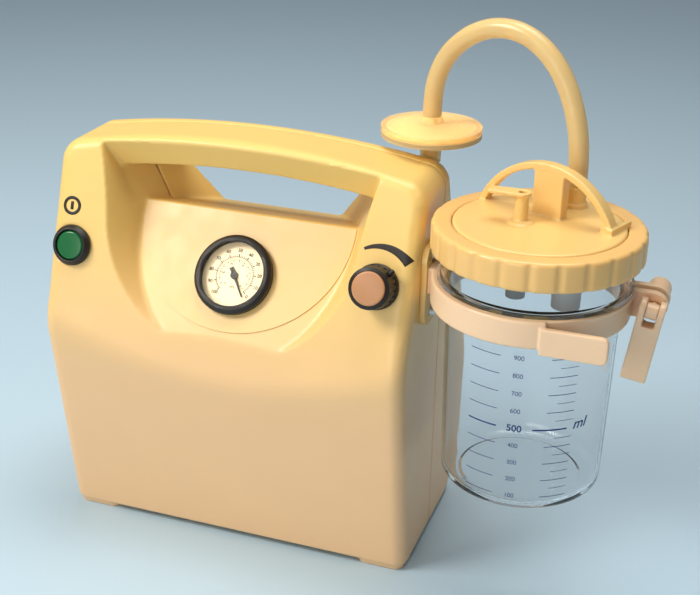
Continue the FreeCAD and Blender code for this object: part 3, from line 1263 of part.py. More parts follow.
def rounded_path(points):
    """A wire of straight runs joined by tangent arcs. An arc is as large as its two runs allow."""
    spots = [FreeCAD.Vector(*point) for point in points]
    edges = []
    radii = []
    start = spots[0]
    for before, here, after in zip(spots, spots[1:], spots[2:]):
        towards, away = (here - before).normalize(), (after - here).normalize()
        turn = towards.getAngle(away)
        reach = 0.45 * min((here - before).Length, (after - here).Length)
        radii.append(reach / math.tan(turn / 2))
        first, last = here - towards * reach, here + away * reach
        bow = (away - towards).normalize()
        centre = here + bow * (reach / math.sin(turn / 2))
        middle = centre + (here - centre).normalize() * radii[-1]
        edges.append(Part.LineSegment(start, first).toShape())
        edges.append(Part.Arc(first, middle, last).toShape())
        start = last
    edges.append(Part.LineSegment(start, spots[-1]).toShape())
    return Part.Wire(edges), radii


def tube(name, points, radius, bore):
    """A hollow hose along a path of runs and arcs, with its bends' radii."""
    wire, radii = rounded_path(points)
    start = FreeCAD.Vector(*points[0])
    direction = FreeCAD.Vector(*points[1]) - start
    solids = []
    for reach in (radius, bore):
        section = Part.Wire(Part.makeCircle(reach, start, direction))
        solids.append(wire.makePipeShell([section], True, False))
    feature = doc.addObject("Part::Feature", name)
    feature.Shape = solids[0].cut(solids[1])
    expected = math.pi * (radius ** 2 - bore ** 2) * wire.Length
    print("%s: length %.1f, volume %.4f of expected, tightest bend %.1f" % (
        name, wire.Length, feature.Shape.Volume / expected, min(radii)))
    return feature


node("vacuum_hose", tube("hose_tube", HOSE_ROUTE, S.hose_radius.value, S.hose_bore.value))


# Mains inlet with its fuse drawer, in the recess of the rear shell

inlet_face = S.inlet_floor + 2.5
socket_z = S.inlet_z + 7.5
drawer_z = S.inlet_z - 11.5
inlet_flange = plate("inlet_flange", rounded(S.inlet_wide, S.inlet_high, 2.5), 2.5, (
    S.inlet_x, S.inlet_floor, S.inlet_z), REAR)
inlet_body = box("inlet_body", (
    S.inlet_x - S.inlet_wide / 2 + 2.5, S.inlet_floor - S.inlet_depth, S.inlet_z - S.inlet_high / 2 + 2.5), (
    S.inlet_x + S.inlet_wide / 2 - 2.5, S.inlet_floor, S.inlet_z + S.inlet_high / 2 - 2.5))
socket = plate("inlet_socket", [
    (-12.0, -4.0), (-8.5, -8.2), (8.5, -8.2), (12.0, -4.0), (12.0, 8.2), (-12.0, 8.2)], 16.0, (
    S.inlet_x, inlet_face - 15.0, socket_z), REAR)
drawer_half, drawer_high, drawer_depth = 12.0, 5.5, 15.0
drawer_hole = box("drawer_hole", (
    S.inlet_x - drawer_half - S.gap, inlet_face - drawer_depth, drawer_z - drawer_high - S.gap), (
    S.inlet_x + drawer_half + S.gap, inlet_face + 5, drawer_z + drawer_high + S.gap))
node("mains_inlet", cut("inlet", fuse("inlet_form", inlet_flange, inlet_body), fuse(
    "inlet_cuts", socket, drawer_hole)))
node("inlet_pins", *[box("inlet_pin_%d" % number, (
    S.inlet_x + x - 1.0, inlet_face - 15.0, socket_z + z - 2.5), (
    S.inlet_x + x + 1.0, inlet_face - 3.0, socket_z + z + 2.5))
    for number, (x, z) in enumerate(((-7.0, -2.0), (0.0, 3.0), (7.0, -2.0)))])
drawer_front = 1.6
drawer = fuse("drawer_form", box("drawer_front", (
    S.inlet_x - drawer_half, inlet_face - drawer_front, drawer_z - drawer_high), (
    S.inlet_x + drawer_half, inlet_face + 0.8, drawer_z + drawer_high)), box("drawer_tray", (
    S.inlet_x - drawer_half + 0.5, inlet_face - drawer_depth + 1, drawer_z - drawer_high + 0.5), (
    S.inlet_x + drawer_half - 0.5, inlet_face - drawer_front, drawer_z + drawer_high - 0.5)))
fuse_radius, fuse_half = 2.6, 10.0
fuse_spots = [(inlet_face - drawer_front - 3.4, drawer_z), (inlet_face - drawer_front - 9.2, drawer_z)]
nest_half, nest_radius = fuse_half + 0.3, fuse_radius + 0.1
nests = [box("fuse_nest_%d" % number, (S.inlet_x - nest_half, y - nest_radius, z - nest_radius), (
    S.inlet_x + nest_half, y + nest_radius, z + 30.0)) for number, (y, z) in enumerate(fuse_spots)]
node("fuse_drawer", cut("drawer", drawer, fuse("fuse_nests", *nests)))
node("fuses", *[rod("fuse_%d" % number, (S.inlet_x - fuse_half, y, z), "x", fuse_radius, fuse_half * 2)
                for number, (y, z) in enumerate(fuse_spots)])


# The pump: a folded base on rubber mounts, motor, crank, connecting rod, diaphragm and head

floor_top = S.foot_height + S.wall
base_low = floor_top + S.mount_height
mount_x = (-62.0, 40.0)
mount_y = 22.0
node("rubber_mounts", *[turned("rubber_mount_%d" % number, [
    (0.0, floor_top), (S.mount_radius, floor_top), (S.mount_radius - 1.5, floor_top + S.mount_height / 2),
    (S.mount_radius, base_low), (0.0, base_low)], (x, y, 0.0))
    for number, (x, y) in enumerate([(x, y) for x in mount_x for y in both_sides(mount_y)])])
base_sheet = box("base_sheet", (-72.0, -30.0, base_low), (50.0, 30.0, base_low + S.base_plate))
upright = box("base_upright", (S.motor_face, -30.0, base_low), (
    S.motor_face + 3.5, 30.0, S.head_z - 14 - S.gap))
shaft_hole = rod("base_hole", (S.motor_face - 5, 0.0, S.motor_z), "x", S.shaft_radius + 3, 20.0)
node("pump_frame", cut("folded_base", fuse("base_form", base_sheet, upright), shaft_hole))
motor_back = S.motor_face - S.motor_length
node("motor_case", turned("motor_can", [
    (S.shaft_radius + S.fit, 0.0), (S.motor_radius - 2, 0.0), (S.motor_radius, 2.0),
    (S.motor_radius, S.motor_length), (S.shaft_radius + S.fit, S.motor_length)], (
    motor_back, 0.0, S.motor_z), RIGHT))
crank_end = S.crank_x + S.crank_length
fan_x = motor_back - 12
node("motor_shaft", rod("shaft", (fan_x, 0.0, S.motor_z), "x", S.shaft_radius, crank_end - 1 - fan_x))
fan_hub = plate("fan_hub", [], 9.0, (fan_x, 0.0, S.motor_z), RIGHT, None, [
    (8.0, 0.0, 0.0), (S.shaft_radius + 0.02, 0.0, 0.0)])
blades = []
blade_count = int(S.fan_blades.value)
for number in range(blade_count):
    blade = doc.addObject("Part::Box", "fan_blade_%d" % number)
    for side, amount in (("Length", 1.2), ("Width", S.fan_radius - 7), ("Height", 7.0)):
        bind(blade, side, amount)
    spin = FreeCAD.Rotation(FreeCAD.Vector(1, 0, 0), 360.0 * number / blade_count)
    pitch = FreeCAD.Rotation(FreeCAD.Vector(0, 1, 0), 35)
    blade.Placement = FreeCAD.Placement(FreeCAD.Vector(), spin).multiply(
        FreeCAD.Placement(FreeCAD.Vector(2.5, 7, -3), pitch))
    blades.append(blade)
blade_ring = doc.addObject("Part::Compound", "fan_blades")
blade_ring.Links = blades
set_down(blade_ring, (fan_x, 0.0, S.motor_z))
node("cooling_fan", fuse("fan", fan_hub, blade_ring))
crank_disc = plate("crank_disc", [], S.crank_length, (S.crank_x, 0.0, S.motor_z), RIGHT, None, [
    (S.crank_radius, 0.0, 0.0)])
crank_bore = rod("crank_bore", (S.crank_x - 1, 0.0, S.motor_z), "x", S.shaft_radius + 0.02, S.crank_length)
pin_z = S.motor_z + S.throw
rod_x = crank_end + S.gap
crank_stub = rod("crank_stub", (crank_end, 0.0, pin_z), "x", S.crank_pin, S.rod_thick + 2 * S.gap)
crank_cap = rod(
    "crank_collar", (crank_end + S.rod_thick + 2 * S.gap, 0.0, pin_z), "x", S.crank_pin + 1.5, 1.2)
node("crank", cut("eccentric", fuse("crank_form", crank_disc, crank_stub, crank_cap), crank_bore))
head_x = crank_end + S.gap + S.rod_thick / 2
rod_disc = 13.0
big_end = S.crank_pin + 4
rod_top = rod("rod_disc", (head_x, 0.0, S.head_z - 3), "z", rod_disc, 3.0)
rod_shank = box("rod_shank", (rod_x, -4.5, pin_z), (rod_x + S.rod_thick, 4.5, S.head_z - 2))
rod_eye = rod("rod_eye", (rod_x, 0.0, pin_z), "x", big_end, S.rod_thick)
rod_bore = rod("rod_bore", (rod_x - 1, 0.0, pin_z), "x", S.crank_pin + S.fit, S.rod_thick + 2)
node("connecting_rod", cut("rod", fuse("rod_form", rod_top, rod_shank, rod_eye), rod_bore))
head_low = S.head_z + S.diaphragm_thick
node("rod_washer", turned("washer", [
    (0.0, head_low), (rod_disc - 1, head_low), (rod_disc - 2, head_low + 2), (0.0, head_low + 2)], (
    head_x, 0.0, 0.0)))
node("diaphragm", turned("diaphragm_disc", [
    (0.0, S.head_z), (S.head_radius, S.head_z), (S.head_radius, head_low), (0.0, head_low)], (
    head_x, 0.0, 0.0)))
case_wall = 19.0
crank_ring = plate("crankcase_ring", [], 14.0, (head_x, 0.0, S.head_z - 14), None, None, [
    (S.head_radius, 0.0, 0.0)])
crank_arm = box("crankcase_arm", (S.motor_face + 3.5, -20.0, S.motor_z + S.motor_radius - 4), (
    head_x - 12, 20.0, S.head_z))
crank_room = rod("crankcase_bore", (head_x, 0.0, 0.0), "z", case_wall, 200.0)
node("crankcase", cut("crank_housing", fuse("crankcase_form", crank_ring, crank_arm), crank_room))
chamber_high = 2 + S.throw + 2
head_top = head_low + S.head_height
barb_z = head_low + 15
head_form = turned("head_form", [
    (case_wall, head_low), (S.head_radius, head_low), (S.head_radius, head_top - 2),
    (S.head_radius - 2, head_top), (0.0, head_top), (0.0, head_low + chamber_high),
    (case_wall - 3, head_low + chamber_high)], (head_x, 0.0, 0.0))
head_barb = rod("head_barb", (head_x + 20, 0.0, barb_z), "x", S.tube_bore, 19.0)
head_collar = rod("head_collar", (head_x + 20, 0.0, barb_z), "x", S.tube_radius, 9.0)
head_outlet = rod("head_outlet", (head_x, 0.0, barb_z), "y", 3.0, 33.0)
node("pump_head", fuse("head", head_form, head_barb, head_collar, head_outlet))
node("exhaust_silencer", turned("silencer", [
    (0.0, 33.0), (8.0, 33.0), (8.0, 50.0), (6.5, 52.0), (0.0, 52.0)], (head_x, 0.0, barb_z), REAR))


# Hoses inside: a cross joins the spigot, the regulator, the gauge and the pump head

cross = (S.filter_x, S.filter_y, S.cross_z)
cross_reach = 9.0
barb_reach = 15.0
cross_arms = []
for name, axis, step in (("up", "z", 0.0), ("down", "z", -1.0), ("left", "x", -1.0), ("front", "-y", 0.0)):
    for kind, radius, reach in (("arm", S.tube_radius, cross_reach), ("barb", S.tube_bore, barb_reach)):
        start = [size(amount) for amount in cross]
        if axis in "xz" and step:
            start["xyz".index(axis)] = start["xyz".index(axis)] - reach
        cross_arms.append(rod("cross_%s_%s" % (name, kind), start, axis, radius, reach))
node("hose_cross", fuse("cross_form", *cross_arms))


def spot(*amounts):
    """A plain point from sizes."""
    return tuple(size(amount).value for amount in amounts)


tube_radius, tube_bore = S.tube_radius.value, S.tube_bore.value
inlet_start = S.cross_z + cross_reach
node("inlet_hose", pipe("inlet_tube", S.tube_radius, S.tube_bore, spigot_low - inlet_start, (
    S.filter_x, S.filter_y, inlet_start)))
node("pump_hose", tube("pump_tube", [
    spot(S.filter_x, S.filter_y, S.cross_z - cross_reach), spot(S.filter_x, S.filter_y, S.cross_z - 19),
    spot(S.filter_x - 12, S.filter_y - 10, S.cross_z - 36), spot(head_x + 46, 0.0, barb_z),
    spot(head_x + 29, 0.0, barb_z)], tube_radius, tube_bore))
valve_tip = -valve_end - 2
node("regulator_hose", tube("regulator_tube", [
    spot(*on_axis(knob_place, knob_lean, valve_tip)),
    spot(*on_axis(knob_place, knob_lean, valve_tip - 14)),
    spot(S.filter_x, S.filter_y - cross_reach - 14, S.cross_z),
    spot(S.filter_x, S.filter_y - cross_reach, S.cross_z)], tube_radius, tube_bore))
gauge_tip = -S.gauge_depth - 2
node("gauge_hose", tube("gauge_tube", [
    spot(*on_axis(gauge_place, panel_lean, gauge_tip)),
    spot(*on_axis(gauge_place, panel_lean, gauge_tip - 16)),
    spot(24.0, 12.0, 172.0), spot(60.0, S.filter_y - 2, 180.0),
    spot(S.filter_x - cross_reach - 14, S.filter_y, S.cross_z),
    spot(S.filter_x - cross_reach, S.filter_y, S.cross_z)], tube_radius, tube_bore))


# Check every feature and every sub-part, then write them

doc.recompute()
for feature in doc.Objects:
    if "Invalid" in feature.State or "Error" in feature.State:
        raise RuntimeError("%s failed: %s" % (feature.Name, feature.State))
for label, feature in NODES.items():
    shape = feature.Shape
    if shape.isNull() or not shape.isValid() or not shape.Solids:
        raise RuntimeError("sub-part %s has no valid shape" % label)
os.makedirs("parts", exist_ok=True)
for label, feature in NODES.items():
    feature.Shape.exportStep("parts/%s.step" % label)
print("%d sub-parts written" % len(NODES))
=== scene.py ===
import json
import math

import bmesh
import bpy
from mathutils import Matrix, Vector
from mathutils.bvhtree import BVHTree


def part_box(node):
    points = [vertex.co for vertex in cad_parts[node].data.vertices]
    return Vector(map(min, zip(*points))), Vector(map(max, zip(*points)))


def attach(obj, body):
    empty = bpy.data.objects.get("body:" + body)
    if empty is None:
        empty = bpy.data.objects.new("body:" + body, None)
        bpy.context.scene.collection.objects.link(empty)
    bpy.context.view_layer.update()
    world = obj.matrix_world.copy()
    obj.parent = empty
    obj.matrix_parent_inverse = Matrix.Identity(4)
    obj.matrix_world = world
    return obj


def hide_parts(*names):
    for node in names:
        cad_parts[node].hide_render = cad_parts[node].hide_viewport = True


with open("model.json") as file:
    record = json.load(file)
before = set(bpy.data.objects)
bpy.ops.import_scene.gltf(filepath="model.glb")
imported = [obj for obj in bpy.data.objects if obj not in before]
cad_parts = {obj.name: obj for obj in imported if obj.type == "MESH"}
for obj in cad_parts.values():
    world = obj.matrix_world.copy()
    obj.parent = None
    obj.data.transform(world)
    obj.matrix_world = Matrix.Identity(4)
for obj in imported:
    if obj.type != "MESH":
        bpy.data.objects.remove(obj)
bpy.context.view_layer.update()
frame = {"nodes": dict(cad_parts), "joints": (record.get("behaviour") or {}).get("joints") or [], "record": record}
mm = 0.001


# Places and small tools that the whole script works with

def middle(node):
    low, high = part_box(node)
    return (low + high) / 2


def joint(name):
    return next(j for j in frame["joints"] if j["name"] == name)


def outward(name):
    """The joint's axis, towards the front of the case."""
    axis = Vector(joint(name)["axis"]).normalized()
    return -axis if axis.y > 0 else axis


def ray(degrees):
    """The flat direction at an angle, counted from across towards up."""
    turn = math.radians(degrees)
    return Vector((math.cos(turn), math.sin(turn)))


def add(name, data):
    """A new object in the scene."""
    thing = bpy.data.objects.new(name, data)
    bpy.context.scene.collection.objects.link(thing)
    return thing


def mesh_from(form, name):
    """The bmesh as a mesh. The bmesh is freed."""
    mesh = bpy.data.meshes.new(name)
    form.to_mesh(mesh)
    form.free()
    return mesh


def evaluated(thing):
    """The object's mesh with its modifiers applied. The object is removed."""
    graph = bpy.context.evaluated_depsgraph_get()
    mesh = bpy.data.meshes.new_from_object(thing.evaluated_get(graph))
    bpy.data.objects.remove(thing)
    return mesh


RIGHT = Vector((1, 0, 0))
JAR_AXIS = middle("lid_ring")
JAR_RADIUS = 53.7 * mm


# Materials

def shader(name, colour, roughness, coat=0.0):
    material = bpy.data.materials.new(name)
    material.use_nodes = True
    node = material.node_tree.nodes["Principled BSDF"]
    node.inputs["Base Color"].default_value = (*colour, 1)
    node.inputs["Roughness"].default_value = roughness
    node.inputs["Coat Weight"].default_value = coat
    node.inputs["Coat Roughness"].default_value = 0.15
    material.diffuse_color = (*colour, 1)
    return material, node


def noise(material, size, detail=3.0, stretch=(1, 1, 1)):
    """Noise whose grains are about that many metres across."""
    nodes, links = material.node_tree.nodes, material.node_tree.links
    place = nodes.new("ShaderNodeTexCoord")
    mapping = nodes.new("ShaderNodeMapping")
    mapping.inputs["Scale"].default_value = stretch
    grains = nodes.new("ShaderNodeTexNoise")
    grains.inputs["Scale"].default_value = 1 / size
    grains.inputs["Detail"].default_value = detail
    links.new(place.outputs["Object"], mapping.inputs["Vector"])
    links.new(mapping.outputs["Vector"], grains.inputs["Vector"])
    return grains.outputs["Fac"]


def spread(material, source, low, high):
    """Turns noise, which lies mostly between 0.3 and 0.7, into a number between low and high."""
    ramp = material.node_tree.nodes.new("ShaderNodeMapRange")
    ramp.inputs["From Min"].default_value = 0.3
    ramp.inputs["From Max"].default_value = 0.7
    ramp.inputs["To Min"].default_value = low
    ramp.inputs["To Max"].default_value = high
    material.node_tree.links.new(source, ramp.inputs["Value"])
    return ramp.outputs["Result"]


def bump(material, shade, source, height, strength=1.0):
    """Relief of that height where the source is 1."""
    relief = material.node_tree.nodes.new("ShaderNodeBump")
    relief.inputs["Distance"].default_value = height
    relief.inputs["Strength"].default_value = strength
    material.node_tree.links.new(source, relief.inputs["Height"])
    material.node_tree.links.new(relief.outputs["Normal"], shade.inputs["Normal"])


def between(material, low, high, source):
    """A colour from low, where the source is 0, to high, where it is 1."""
    mix = material.node_tree.nodes.new("ShaderNodeMix")
    mix.data_type = "RGBA"
    mix.inputs["A"].default_value = (*low, 1)
    mix.inputs["B"].default_value = (*high, 1)
    material.node_tree.links.new(source, mix.inputs["Factor"])
    return mix.outputs["Result"]


def mottle(material, shade, colour, source, depth):
    """The colour, a little darker or lighter from place to place."""
    low = [c * (1 - depth) for c in colour]
    high = [min(1, c * (1 + depth)) for c in colour]
    material.node_tree.links.new(between(material, low, high, source), shade.inputs["Base Color"])


def subsurface(shade, weight, radius, scale):
    """Light that enters the plastic and leaves it nearby."""
    shade.inputs["Subsurface Weight"].default_value = weight
    shade.inputs["Subsurface Radius"].default_value = radius
    shade.inputs["Subsurface Scale"].default_value = scale


def moulded(name, colour, roughness, grain=0.5 * mm, relief=0.012 * mm, depth=0.03, coat=0.0, glow=0.0):
    """Moulded plastic with a fine grain, faint flow marks and uneven gloss."""
    material, shade = shader(name, colour, roughness, coat)
    mottle(material, shade, colour, noise(material, 45 * mm, 2.0), depth)
    bump(material, shade, noise(material, grain, 2.0), relief)
    gloss = spread(material, noise(material, 12 * mm, 4.0), roughness - 0.04, roughness + 0.06)
    material.node_tree.links.new(gloss, shade.inputs["Roughness"])
    if glow:
        subsurface(shade, glow, (1.0, 0.5, 0.2), 4 * mm)
    return material


def painted_light_by_height(material, low, high, from_z, to_z):
    """Tints the material by height, with one tint up to a height and the other above a second height: painted
    light, a pinker shaded lower part and a yellower lit top.
    """
    nodes, links = material.node_tree.nodes, material.node_tree.links
    shade = nodes["Principled BSDF"]
    place = nodes.new("ShaderNodeTexCoord")
    parts = nodes.new("ShaderNodeSeparateXYZ")
    ramp = nodes.new("ShaderNodeMapRange")
    ramp.inputs["From Min"].default_value = from_z
    ramp.inputs["From Max"].default_value = to_z
    ramp.interpolation_type = "SMOOTHSTEP"
    blend = nodes.new("ShaderNodeMix")
    blend.data_type = "RGBA"
    blend.blend_type = "MULTIPLY"
    blend.inputs["Factor"].default_value = 1.0
    links.new(place.outputs["Object"], parts.inputs["Vector"])
    links.new(parts.outputs["Z"], ramp.inputs["Value"])
    links.new(shade.inputs["Base Color"].links[0].from_socket, blend.inputs["A"])
    links.new(between(material, low, high, ramp.outputs["Result"]), blend.inputs["B"])
    links.new(blend.outputs["Result"], shade.inputs["Base Color"])
    return material


def ringed(material, centre, pitch, height):
    """Fine round ridges about an upright axis, in place of the material's other relief."""
    nodes, links = material.node_tree.nodes, material.node_tree.links
    place = nodes.new("ShaderNodeTexCoord")
    mapping = nodes.new("ShaderNodeMapping")
    mapping.inputs["Location"].default_value = -centre
    rings = nodes.new("ShaderNodeTexWave")
    rings.wave_type = "RINGS"
    rings.rings_direction = "Z"
    rings.inputs["Scale"].default_value = math.pi / 10 / pitch
    links.new(place.outputs["Object"], mapping.inputs["Vector"])
    links.new(mapping.outputs["Vector"], rings.inputs["Vector"])
    bump(material, nodes["Principled BSDF"], rings.outputs["Fac"], height)
    return material


def metal(name, colour, roughness, stretch):
    """Metal with fine drawn or turned lines."""
    material, shade = shader(name, colour, roughness)
    shade.inputs["Metallic"].default_value = 1.0
    lines = noise(material, 0.6 * mm, 4.0, stretch)
    gloss = spread(material, lines, roughness - 0.08, roughness + 0.1)
    material.node_tree.links.new(gloss, shade.inputs["Roughness"])
    bump(material, shade, lines, 0.01 * mm)
    mottle(material, shade, colour, noise(material, 8 * mm), 0.06)
    return material


def clear(name, colour, roughness, see_through=1.0, ior=1.3, coat=0.0):
    """Clear plastic or glass that lets lamp light through to what is behind it."""
    material, shade = shader(name, colour, roughness, coat)
    shade.inputs["Transmission Weight"].default_value = see_through
    shade.inputs["IOR"].default_value = ior
    bump(material, shade, noise(material, 14 * mm, 1.0), 0.02 * mm, 0.5)
    nodes, links = material.node_tree.nodes, material.node_tree.links
    path = nodes.new("ShaderNodeLightPath")
    through = nodes.new("ShaderNodeBsdfTransparent")
    through.inputs["Color"].default_value = (*[0.3 + 0.65 * c for c in colour], 1)
    mix = nodes.new("ShaderNodeMixShader")
    links.new(path.outputs["Is Shadow Ray"], mix.inputs["Fac"])
    links.new(shade.outputs["BSDF"], mix.inputs[1])
    links.new(through.outputs["BSDF"], mix.inputs[2])
    links.new(mix.outputs["Shader"], nodes["Material Output"].inputs["Surface"])
    return material


def silicone(name, colour, roughness, see_through):
    """Soft hose rubber, cloudy and half clear."""
    material, shade = shader(name, colour, roughness, 0.2)
    shade.inputs["Transmission Weight"].default_value = see_through
    shade.inputs["IOR"].default_value = 1.41
    subsurface(shade, 0.35, (1.0, 0.6, 0.25), 6 * mm)
    mottle(material, shade, colour, noise(material, 18 * mm), 0.07)
    bump(material, shade, noise(material, 5 * mm, 2.0), 0.04 * mm)
    return material


CREAM = (0.84, 0.57, 0.28)
IVORY = (0.86, 0.57, 0.20)
ROSE = (0.87, 0.60, 0.38)
# Painted light: a pinker tint for the case's shaded lower part and a yellower one for its lit top.
SHADED_LOW_TINT, LIT_HIGH_TINT = (1.0, 0.92, 0.98), (1.04, 1.03, 0.64)

materials = {
    "case_cream": painted_light_by_height(
        moulded("case_plastic", CREAM, 0.40, grain=0.45 * mm, relief=0.02 * mm, depth=0.025, coat=0.1),
        SHADED_LOW_TINT, LIT_HIGH_TINT, 100 * mm, 250 * mm),
    "clamp_cream": moulded("clamp_plastic", ROSE, 0.34, relief=0.006 * mm, coat=0.15, glow=0.08),
    "lid_ivory": moulded("lid_plastic", IVORY, 0.33, relief=0.006 * mm, coat=0.15, glow=0.08),
    "label_film": moulded("label_film", (0.84, 0.56, 0.22), 0.36, grain=0.8 * mm, relief=0.008 * mm,
                          depth=0.015),
    "black_plastic": moulded("black_plastic", (0.010, 0.006, 0.004), 0.45, relief=0.01 * mm, depth=0.1),
    "dial_white": moulded("dial_card", (0.76, 0.62, 0.40), 0.5, relief=0.004 * mm, depth=0.01),
    "pointer_black": moulded("pointer_paint", (0.008, 0.006, 0.005), 0.5, relief=0.004 * mm, depth=0.05),
    "gauge_glass": clear("gauge_pane", (0.98, 0.97, 0.95), 0.02, ior=1.02),
    "button_green": moulded("button_green", (0.008, 0.13, 0.035), 0.24, relief=0.008 * mm, depth=0.06,
                            coat=0.3),
    "cap_tan": moulded("cap_tan", (0.54, 0.25, 0.11), 0.42, relief=0.01 * mm, depth=0.03),
    "steel": metal("zinc_steel", (0.62, 0.61, 0.58), 0.32, (1, 1, 6)),
    "brass": metal("turned_brass", (0.78, 0.55, 0.24), 0.3, (6, 1, 1)),
    "aluminium": metal("cast_aluminium", (0.68, 0.68, 0.68), 0.45, (1, 1, 1)),
    "clear_plastic": clear("clear_plastic", (0.94, 0.95, 0.96), 0.03, ior=1.14, coat=0.7),
    "filter_paper": moulded("filter_membrane", (0.90, 0.74, 0.46), 0.8, grain=0.3 * mm, relief=0.03 * mm),
    "float_white": moulded("white_plastic", (0.82, 0.80, 0.76), 0.4, depth=0.02),
    "hose_amber": silicone("amber_silicone", (0.95, 0.68, 0.30), 0.28, 0.3),
    "hose_clear": silicone("clear_silicone", (0.80, 0.74, 0.62), 0.3, 0.5),
    "rubber": moulded("black_rubber", (0.03, 0.03, 0.03), 0.7, depth=0.1),
}

# Looks of single pieces that differ from their slot's

ink_black = moulded("ink_black", (0.018, 0.012, 0.008), 0.5, relief=0.002 * mm, depth=0.05)
ink_blue = moulded("ink_blue", (0.012, 0.03, 0.16), 0.5, relief=0.002 * mm, depth=0.05)
filter_tint = ringed(clear("filter_plastic", (0.97, 0.80, 0.46), 0.45, see_through=0.6, ior=1.2, coat=0.2),
                     middle("filter_upper"), 1.9 * mm, 0.12 * mm)
cage_tint = clear("cage_plastic", (0.62, 0.58, 0.54), 0.3, see_through=0.55)
# Painted shade: the port stub is cream plastic, coloured dark grey for the shade under the lid.
stub_grey = moulded("stub_grey", (0.20, 0.19, 0.18), 0.4)
# Painted shade: the lid ring is the lid's own ivory plastic, given a darker, more orange copy for the shade on its
# side.
shaded_ring_tint = moulded("ring_plastic", (0.85, 0.52, 0.18), 0.33, relief=0.006 * mm, coat=0.15, glow=0.08)


def dress(thing, material):
    thing.data.materials.clear()
    thing.data.materials.append(material)


node_slot = {part["node"]: part["material_slot"] for part in frame["record"]["subparts"]}
node_body = {node: body for body, nodes in frame["record"]["behaviour"]["bodies"].items() for node in nodes}
node_look = {node: materials[slot] for node, slot in node_slot.items()}
node_look.update({"filter_lower": filter_tint, "filter_upper": filter_tint, "float_cage": cage_tint})
node_look.update({"clamp_bolt": materials["clamp_cream"], "clamp_pin": materials["clamp_cream"]})
for node, look in node_look.items():
    dress(frame["nodes"][node], look)


# Pieces made from a node's own solid, with the edges of the real moulding

def piece_from(name, mesh, body, slot, material=None):
    """A smooth piece that rides a body. Its look is its slot's unless a material is given."""
    piece = add(name, mesh)
    dress(piece, material or materials[slot])
    for polygon in mesh.polygons:
        polygon.use_smooth = True
    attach(piece, body)
    return piece


def stand_in(node, ending, mesh):
    """A piece that takes the node's place."""
    piece = piece_from(node + ending, mesh, node_body[node], node_slot[node])
    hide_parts(node)
    return piece


def welded_copy(node):
    """A node's mesh with its split corners joined."""
    form = bmesh.new()
    form.from_mesh(frame["nodes"][node].data)
    bmesh.ops.remove_doubles(form, verts=form.verts, dist=1e-6)
    return mesh_from(form, node + "_soft")


def applied(mesh, *modifiers):
    """The mesh with modifiers (type, settings) applied in order."""
    carrier = add("carrier", mesh)
    for kind, settings in modifiers:
        modifier = carrier.modifiers.new(kind.lower(), kind)
        for setting, amount in settings.items():
            setattr(modifier, setting, amount)
    return evaluated(carrier)


def remoulded(node, voxel, passes, share):
    """A node's form with every edge softened, as a moulding has it, and a share of its faces kept."""
    mesh = applied(
        welded_copy(node),
        ("REMESH", {"mode": "VOXEL", "voxel_size": voxel}),
        ("SMOOTH", {"factor": 0.5, "iterations": passes}),
        ("DECIMATE", {"ratio": share}))
    return stand_in(node, "_moulding", mesh)


def eased(node):
    """A node's form with its sharp edges rounded."""
    width, flat, sharp = 0.35 * mm, math.radians(0.5), math.radians(32)
    form = bmesh.new()
    form.from_mesh(welded_copy(node))
    bmesh.ops.dissolve_limit(form, angle_limit=flat, verts=form.verts, edges=form.edges)
    mesh = applied(
        mesh_from(form, node + "_eased"),
        ("BEVEL", {"width": width, "segments": 2, "limit_method": "ANGLE", "angle_limit": sharp,
                   "use_clamp_overlap": True}),
        ("WEIGHTED_NORMAL", {"keep_sharp": False, "weight": 100}))
    return stand_in(node, "_eased", mesh)


front = remoulded("front_shell", 1.3 * mm, 5, 0.5)
remoulded("rear_shell", 1.3 * mm, 4, 0.5)
# The lid ring wears the darker copy of the lid plastic, which is painted shade.
dress(remoulded("lid_ring", 0.8 * mm, 24, 0.4), shaded_ring_tint)
for node in ("lid_cover", "holder_band", "clamp_lever", "clamp_nut"):
    remoulded(node, 0.7 * mm, 5, 0.4)
for node in ("switch_bezel", "power_button", "knob_cap", "holder_plate", "fuse_drawer", "mains_inlet",
             "gauge_bezel", "regulator_knob"):
    eased(node)


# Small parts that the solids leave out

def knob_nub():
    """The pointer nub on the regulator's skirt."""
    sides = Vector((5.0, 3.6, 5.0)) * mm
    from_axis, turn = 15.2 * mm, math.radians(47)
    out = outward("regulator_turn")
    along = RIGHT * math.cos(turn) + out.cross(RIGHT) * math.sin(turn)
    nub = bmesh.new()
    bmesh.ops.create_cube(nub, size=1)
    bmesh.ops.bevel(nub, geom=nub.edges[:], offset=0.18, segments=3, affect="EDGES")
    nub.transform(Matrix.LocRotScale(
        middle("regulator_knob") + along * from_axis,
        Matrix((along, out.cross(along), out)).transposed(), sides))
    piece_from("knob_nub", mesh_from(nub, "knob_nub"), "knob", "black_plastic")


def neck_tube(name, place, low, high, radius, material):
    """A tube that hangs from the lid into the jar's neck. Heights and radius are in millimetres."""
    draft = 0.6
    tube = bmesh.new()
    bmesh.ops.create_cone(tube, cap_ends=True, segments=48, radius1=(radius - draft) * mm,
                          radius2=radius * mm, depth=(high - low) * mm)
    tube.transform(Matrix.Translation((place.x, place.y, (low + high) / 2 * mm)))
    piece_from(name, mesh_from(tube, name), "lid", "clear_plastic", material)


knob_nub()
# The port stub carries painted shade, dark grey for the shade under the lid.
neck_tube("port_stub", JAR_AXIS + Vector((-11, -3.5, 0)) * mm, 216, 248, 6.8, stub_grey)
neck_tube("cage_skirt", middle("float_cage"), 196, 223, 10.2, cage_tint)


# Print: flat shapes laid on a surface as thin raised ink

